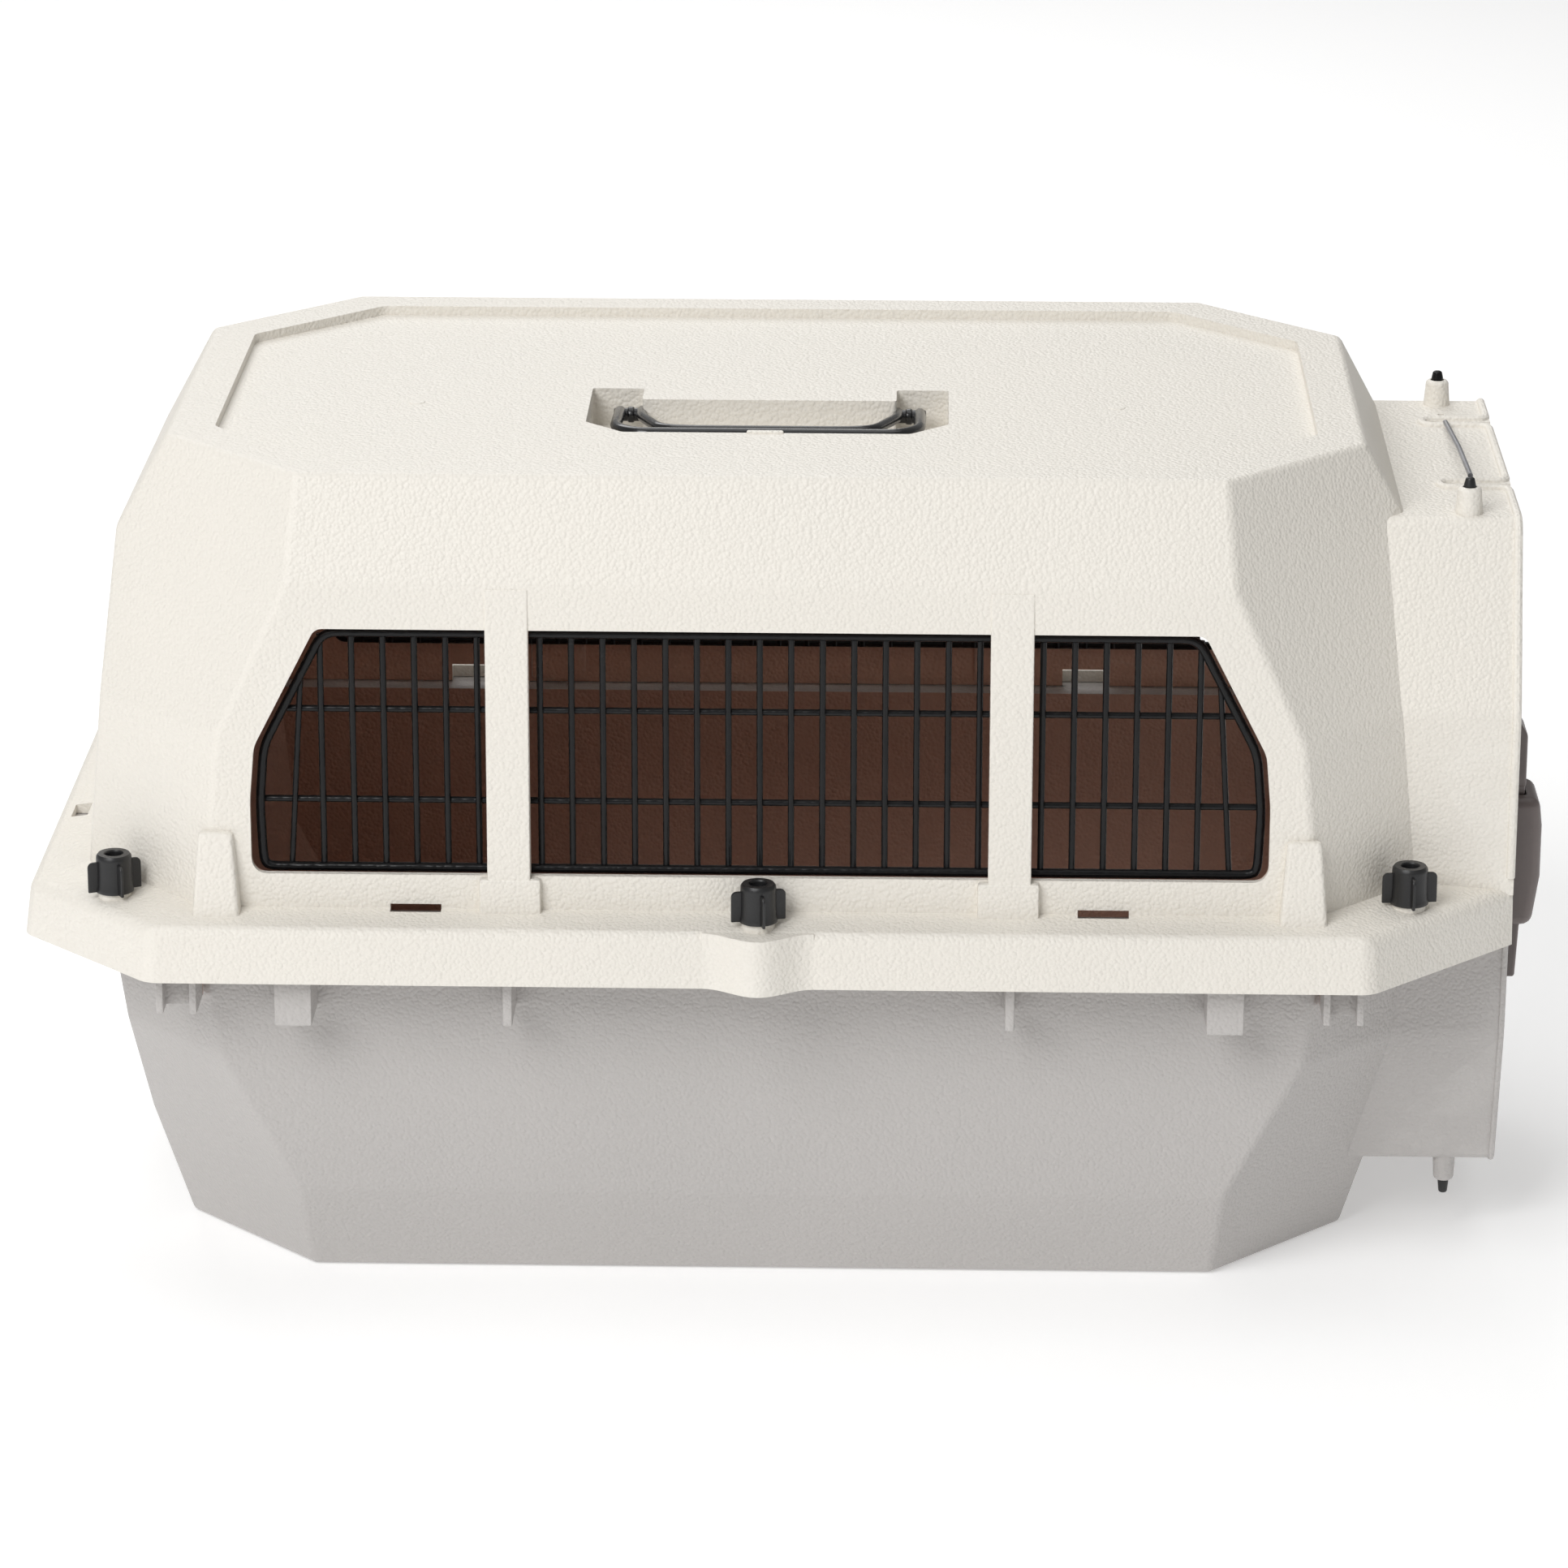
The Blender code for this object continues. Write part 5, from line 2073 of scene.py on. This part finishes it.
    def build_dust(self) -> bpy.types.ShaderNodeTree:
        """Builds the fine dust that settles on faces looking up.

        Returns:
            The group.
        """
        tree = self.start(
            "settled_dust",
            {"Place": "Vector", "Colour": "Color", "Roughness": "Float", "Amount": "Float"},
            {"Colour": "Color", "Roughness": "Float"},
        )
        given, result = tree.nodes["in"].outputs, tree.nodes["out"].inputs
        parts = tree.nodes.new("ShaderNodeSeparateXYZ")
        tree.links.new(tree.nodes.new("ShaderNodeNewGeometry").outputs["Normal"], parts.inputs[0])
        up = self.ramp(tree, parts.outputs["Z"], 0.2, 1.0)
        uneven = self.ramp(tree, self.noise(tree, given["Place"], 240.0, 4.0), 0.40, 0.75)
        share = self.maths(tree, "MULTIPLY", self.maths(tree, "MULTIPLY", up, uneven), given["Amount"])
        tree.links.new(self.blend(tree, share, given["Colour"], (0.42, 0.40, 0.38)), result["Colour"])
        lift = self.maths(tree, "MULTIPLY", share, 0.5)
        tree.links.new(self.maths(tree, "ADD", given["Roughness"], lift), result["Roughness"])
        return tree

    def build_cabin_painted_shade(self) -> bpy.types.ShaderNodeTree:
        """Builds the blend from the outer colour to a painted shade, warmer and darker, on faces that look
        into the cabin.

        Returns:
            The group.
        """
        tree = self.start(
            "cabin_painted_shade",
            {"Place": "Vector", "Colour": "Color", "Skin": "Color", "Half Width": "Float"},
            {"Colour": "Color"},
        )
        given, result = tree.nodes["in"].outputs, tree.nodes["out"].inputs
        inward = tree.nodes.new("ShaderNodeVectorMath")
        inward.operation = "SUBTRACT"
        inward.inputs[0].default_value = (0.0, 0.0, 0.18)
        tree.links.new(given["Place"], inward.inputs[1])
        unit = tree.nodes.new("ShaderNodeVectorMath")
        unit.operation = "NORMALIZE"
        tree.links.new(inward.outputs[0], unit.inputs[0])
        facing = tree.nodes.new("ShaderNodeVectorMath")
        facing.operation = "DOT_PRODUCT"
        tree.links.new(unit.outputs[0], facing.inputs[0])
        tree.links.new(tree.nodes.new("ShaderNodeNewGeometry").outputs["Normal"], facing.inputs[1])
        looks_in = self.ramp(tree, facing.outputs["Value"], 0.15, 0.35)
        sides = tree.nodes.new("ShaderNodeSeparateXYZ")
        tree.links.new(given["Place"], sides.inputs[0])
        ahead = self.maths(tree, "ABSOLUTE", sides.outputs["X"])
        across = self.maths(tree, "ABSOLUTE", sides.outputs["Y"])
        beyond = self.maths(tree, "SUBTRACT", across, given["Half Width"])
        diagonal = self.maths(tree, "ADD", ahead, across)
        mask = looks_in
        for value, low, high in (
            (ahead, 0.2712, 0.2722),
            (beyond, 0.0, 0.0006),
            (diagonal, 0.3840, 0.3850),
            (sides.outputs["Z"], 0.3235, 0.3245),
        ):
            mask = self.maths(tree, "MULTIPLY", mask, self.ramp(tree, value, low, high, (1.0, 0.0)))
        # Painted shade: the warm, dark colour on faces that look into the cabin stands in for the shade
        # inside it.
        tree.links.new(self.blend(tree, mask, given["Colour"], given["Skin"]), result["Colour"])
        return tree


CREAM = Finish(
    name="cream_grained_moulding",
    colour=(0.80, 0.765, 0.70),
    tint=(0.84, 0.80, 0.73),
    roughness=0.46,
    drift=0.5,
    pebble=0.0015,
    relief=0.00024,
    rub=(0.86, 0.83, 0.77),
    rubbing=0.35,
    # Painted shade inside the cabin, warmer and darker than the cream.
    cabin=(0.66, 0.40, 0.30),
    cabin_half=0.1606,
)
GREY = Finish(
    name="grey_grained_moulding",
    colour=(0.49, 0.47, 0.455),
    tint=(0.54, 0.515, 0.50),
    roughness=0.48,
    drift=0.5,
    pebble=0.0015,
    relief=0.00022,
    rub=(0.60, 0.58, 0.56),
    rubbing=0.35,
    # Painted shade inside the cabin, warmer and darker than the grey.
    cabin=(0.50, 0.31, 0.24),
    cabin_half=0.1500,
)
TAUPE = Finish(
    name="taupe_satin_moulding",
    colour=(0.16, 0.132, 0.126),
    tint=(0.19, 0.16, 0.15),
    roughness=0.38,
    drift=0.5,
    pebble=0.0007,
    relief=0.00002,
    rub=(0.3, 0.27, 0.26),
    rubbing=0.3,
)
BLACK_WIRE = Finish(
    name="black_dipped_wire",
    colour=(0.006, 0.006, 0.0065),
    tint=(0.011, 0.011, 0.012),
    roughness=0.18,
    drift=0.6,
    pebble=0.0030,
    relief=0.00010,
    rub=(0.02, 0.02, 0.02),
    rubbing=0.2,
    specular=0.22,
)
BLACK_GLOSS = Finish(
    name="black_gloss_moulding",
    colour=(0.007, 0.007, 0.0075),
    tint=(0.013, 0.013, 0.014),
    roughness=0.20,
    drift=0.5,
    pebble=0.0030,
    relief=0.00004,
    rub=(0.03, 0.03, 0.03),
    rubbing=0.3,
    coat=0.3,
)
BLACK_SATIN = Finish(
    name="black_satin_moulding",
    colour=(0.010, 0.010, 0.0105),
    tint=(0.016, 0.016, 0.017),
    roughness=0.36,
    drift=0.5,
    pebble=0.0009,
    relief=0.00002,
    rub=(0.05, 0.05, 0.05),
    rubbing=0.4,
    dust=0.04,
)
ZINC = Finish(
    name="zinc_plated_steel",
    colour=(0.42, 0.42, 0.44),
    tint=(0.33, 0.33, 0.35),
    roughness=0.30,
    drift=0.8,
    pebble=0.0015,
    relief=0.00003,
    rub=(0.62, 0.62, 0.64),
    rubbing=0.4,
    metallic=1.0,
)


# ---------------------------------------------------------------- studio


@dataclass
class Studio:
    """The floor, the lights and the camera.

    Attributes:
        floor_half: Half the floor's width.
        eye: Where the camera is.
        pitch: How far it looks down, in radians.
        yaw: How far it is turned to the left, in radians.
        roll: How far it leans, in radians.
        lens: Its focal length in millimetres, on a 36 mm sensor.
        aim: Where the softboxes point.
    """

    floor_half: float = 9.0
    eye: Place = (0.06597, -2.44941, 0.99102)
    pitch: float = 0.3232
    yaw: float = 0.0245
    roll: float = 0.0015
    lens: float = 138.44
    aim: Place = (0.0, 0.0, 0.18)

    def build(self) -> None:
        """Sets the stage up."""
        self.floor()
        self.surroundings()
        self.softbox("key", (-1.5, -2.6, 2.6), (2.0, 2.0), 88.0)
        self.softbox("overhead", (0.1, 0.2, 2.9), (2.8, 2.2), 22.0)
        self.softbox("behind", (-0.6, 2.4, 2.2), (2.0, 2.0), 31.0)
        self.camera()

    def floor(self) -> None:
        """Lays the pale floor."""
        deselect()
        bpy.ops.mesh.primitive_plane_add(size=2 * self.floor_half, location=(0, 0, -0.0004))
        floor = fix_place(bpy.context.object)
        floor.name = "studio_floor"
        material = bpy.data.materials.new("pale_floor")
        material.use_nodes = True
        shader = material.node_tree.nodes["Principled BSDF"]
        shader.inputs["Base Color"].default_value = (0.90, 0.90, 0.90, 1.0)
        shader.inputs["Roughness"].default_value = 0.9
        shader.inputs["Emission Color"].default_value = (1.0, 1.0, 1.0, 1.0)
        shader.inputs["Emission Strength"].default_value = 0.29
        dress(floor, material)

    def surroundings(self) -> None:
        """Sets the soft light from all round and a plain view of the colours."""
        scene = bpy.context.scene
        world = bpy.data.worlds.new("studio")
        world.use_nodes = True
        world.node_tree.nodes["Background"].inputs["Color"].default_value = (1.0, 0.995, 0.985, 1.0)
        world.node_tree.nodes["Background"].inputs["Strength"].default_value = 0.24
        scene.world = world
        scene.view_settings.view_transform = "Standard"

    def softbox(self, name: str, place: Place, size: Step, power: float) -> None:
        """Hangs a softbox that looks at the carrier.

        Args:
            name: The light's name.
            place: Where it hangs.
            size: Its width and height.
            power: Its power in watts.
        """
        light = bpy.data.lights.new(name, "AREA")
        light.shape, light.size, light.size_y, light.energy = "RECTANGLE", size[0], size[1], power
        holder = bpy.data.objects.new(name, light)
        holder.location = place
        along = Vector(self.aim) - Vector(place)
        holder.rotation_euler = along.to_track_quat("-Z", "Y").to_euler()
        bpy.context.collection.objects.link(holder)

    def camera(self) -> None:
        """Places the camera in front of the long side, looking down a little."""
        turn, dip = self.yaw, self.pitch
        forward = Vector((-math.sin(turn) * math.cos(dip), math.cos(turn) * math.cos(dip), -math.sin(dip)))
        right = Vector((math.cos(turn), math.sin(turn), 0.0))
        up = right.cross(forward)
        level_right = right * math.cos(self.roll) + up * math.sin(self.roll)
        level_up = -right * math.sin(self.roll) + up * math.cos(self.roll)
        camera = bpy.data.cameras.new("camera")
        camera.lens, camera.sensor_width = self.lens, 36.0
        camera.clip_start, camera.clip_end = 0.05, 60.0
        holder = bpy.data.objects.new("camera", camera)
        axes = Matrix((level_right, level_up, -forward)).transposed().to_4x4()
        holder.matrix_world = Matrix.Translation(Vector(self.eye)) @ axes
        bpy.context.collection.objects.link(holder)
        bpy.context.scene.camera = holder


# ---------------------------------------------------------------- putting it together


def build_shells(flange: Flange, cream: bpy.types.Material, grey: bpy.types.Material) -> None:
    """Builds both half shells."""
    settle(TopShell(flange).build(), Body.CARRIER.value, cream, "top_shell")
    settle(BottomShell(flange).build(), Body.CARRIER.value, grey, "bottom_shell")


def build_door(
    wire_paint: bpy.types.Material,
    taupe: bpy.types.Material,
    black: bpy.types.Material,
    zinc: bpy.types.Material,
) -> None:
    """Builds the door with its latch.

    Args:
        wire_paint: The material of the wires.
        taupe: The latch's material.
        black: The material of the black mouldings.
        zinc: The material of the steel pieces.
    """
    settle(WireDoor().build(), Body.DOOR.value, wire_paint, "wire_door")
    latch = SqueezeLatch()
    settle(latch.grip(), Body.DOOR.value, taupe, "latch_housing")
    for sign, label, body in ((1, "upper", Body.UPPER_LATCH), (-1, "lower", Body.LOWER_LATCH)):
        settle(latch.slider(sign), body.value, taupe, f"latch_{label}_slider")
        settle(latch.bolt_rod(sign), body.value, black, f"latch_{label}_rod")
        spring = latch.spring(sign)
        settle(spring, Body.DOOR.value, zinc, f"latch_{label}_spring")
        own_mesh(spring)


def build_handle(black: bpy.types.Material, zinc: bpy.types.Material) -> None:
    """Builds the strap handle and its pins."""
    settle(StrapHandle().build(), Body.HANDLE.value, black, "carry_handle")
    for side, label in ((-1, "left"), (1, "right")):
        pin = HingePin().build(f"{label}_hinge_pin", side)
        settle(pin, Body.CARRIER.value, zinc, f"handle_pin_{label}")


def build_fasteners(flange: Flange, black: bpy.types.Material, zinc: bpy.types.Material) -> None:
    """Builds the six bolts with their wing nuts.

    Args:
        flange: The flange that both shells share.
        black: The material of the black mouldings.
        zinc: The material of the steel pieces.
    """
    seat_z = flange.nut_seat_z + 3 * HAIR
    nut_model, bolt_model = WingNut().build(), CarriageBolt().build(seat_z)
    turns = {-1: (0.42, 0.24, 0.10), 1: (0.9, 0.4, 0.1)}
    for side, row in ROWS:
        for (x, y), column, turn in zip(flange.nuts, ("left", "middle", "right"), turns[side]):
            nut = smooth(copied(nut_model, f"{row}_{column}_wing_nut", (x, side * y, seat_z), turn), 40)
            settle(nut, f"nut_{row}_{column}", black, f"wing_nut_{row}_{column}")
            bolt = smooth(copied(bolt_model, f"{row}_{column}_bolt", (x, side * y, 0.0)), 50)
            settle(bolt, Body.CARRIER.value, zinc, f"carriage_bolt_{row}_{column}")
    for model in (nut_model, bolt_model):
        bpy.data.objects.remove(model, do_unlink=True)


def main() -> None:
    """Builds the carrier piece by piece, then its stage."""
    logging.basicConfig(level=logging.INFO, format="%(name)s: %(message)s")
    groups = FinishGroups()
    cream, grey, taupe = CREAM.make(groups), GREY.make(groups), TAUPE.make(groups)
    wire_paint, gloss, satin, zinc = (
        BLACK_WIRE.make(groups),
        BLACK_GLOSS.make(groups),
        BLACK_SATIN.make(groups),
        ZINC.make(groups),
    )
    flange = Flange()
    build_shells(flange, cream, grey)
    for side, row in ROWS:
        settle(WindowGrille(side).build(), Body.CARRIER.value, wire_paint, f"{row}_grille")
    build_door(wire_paint, taupe, satin, zinc)
    build_handle(gloss, zinc)
    build_fasteners(flange, satin, zinc)
    settle(TieRod().build(), Body.CARRIER.value, zinc, "tie_rod")
    Studio().build()


if __name__ == "__main__":
    main()
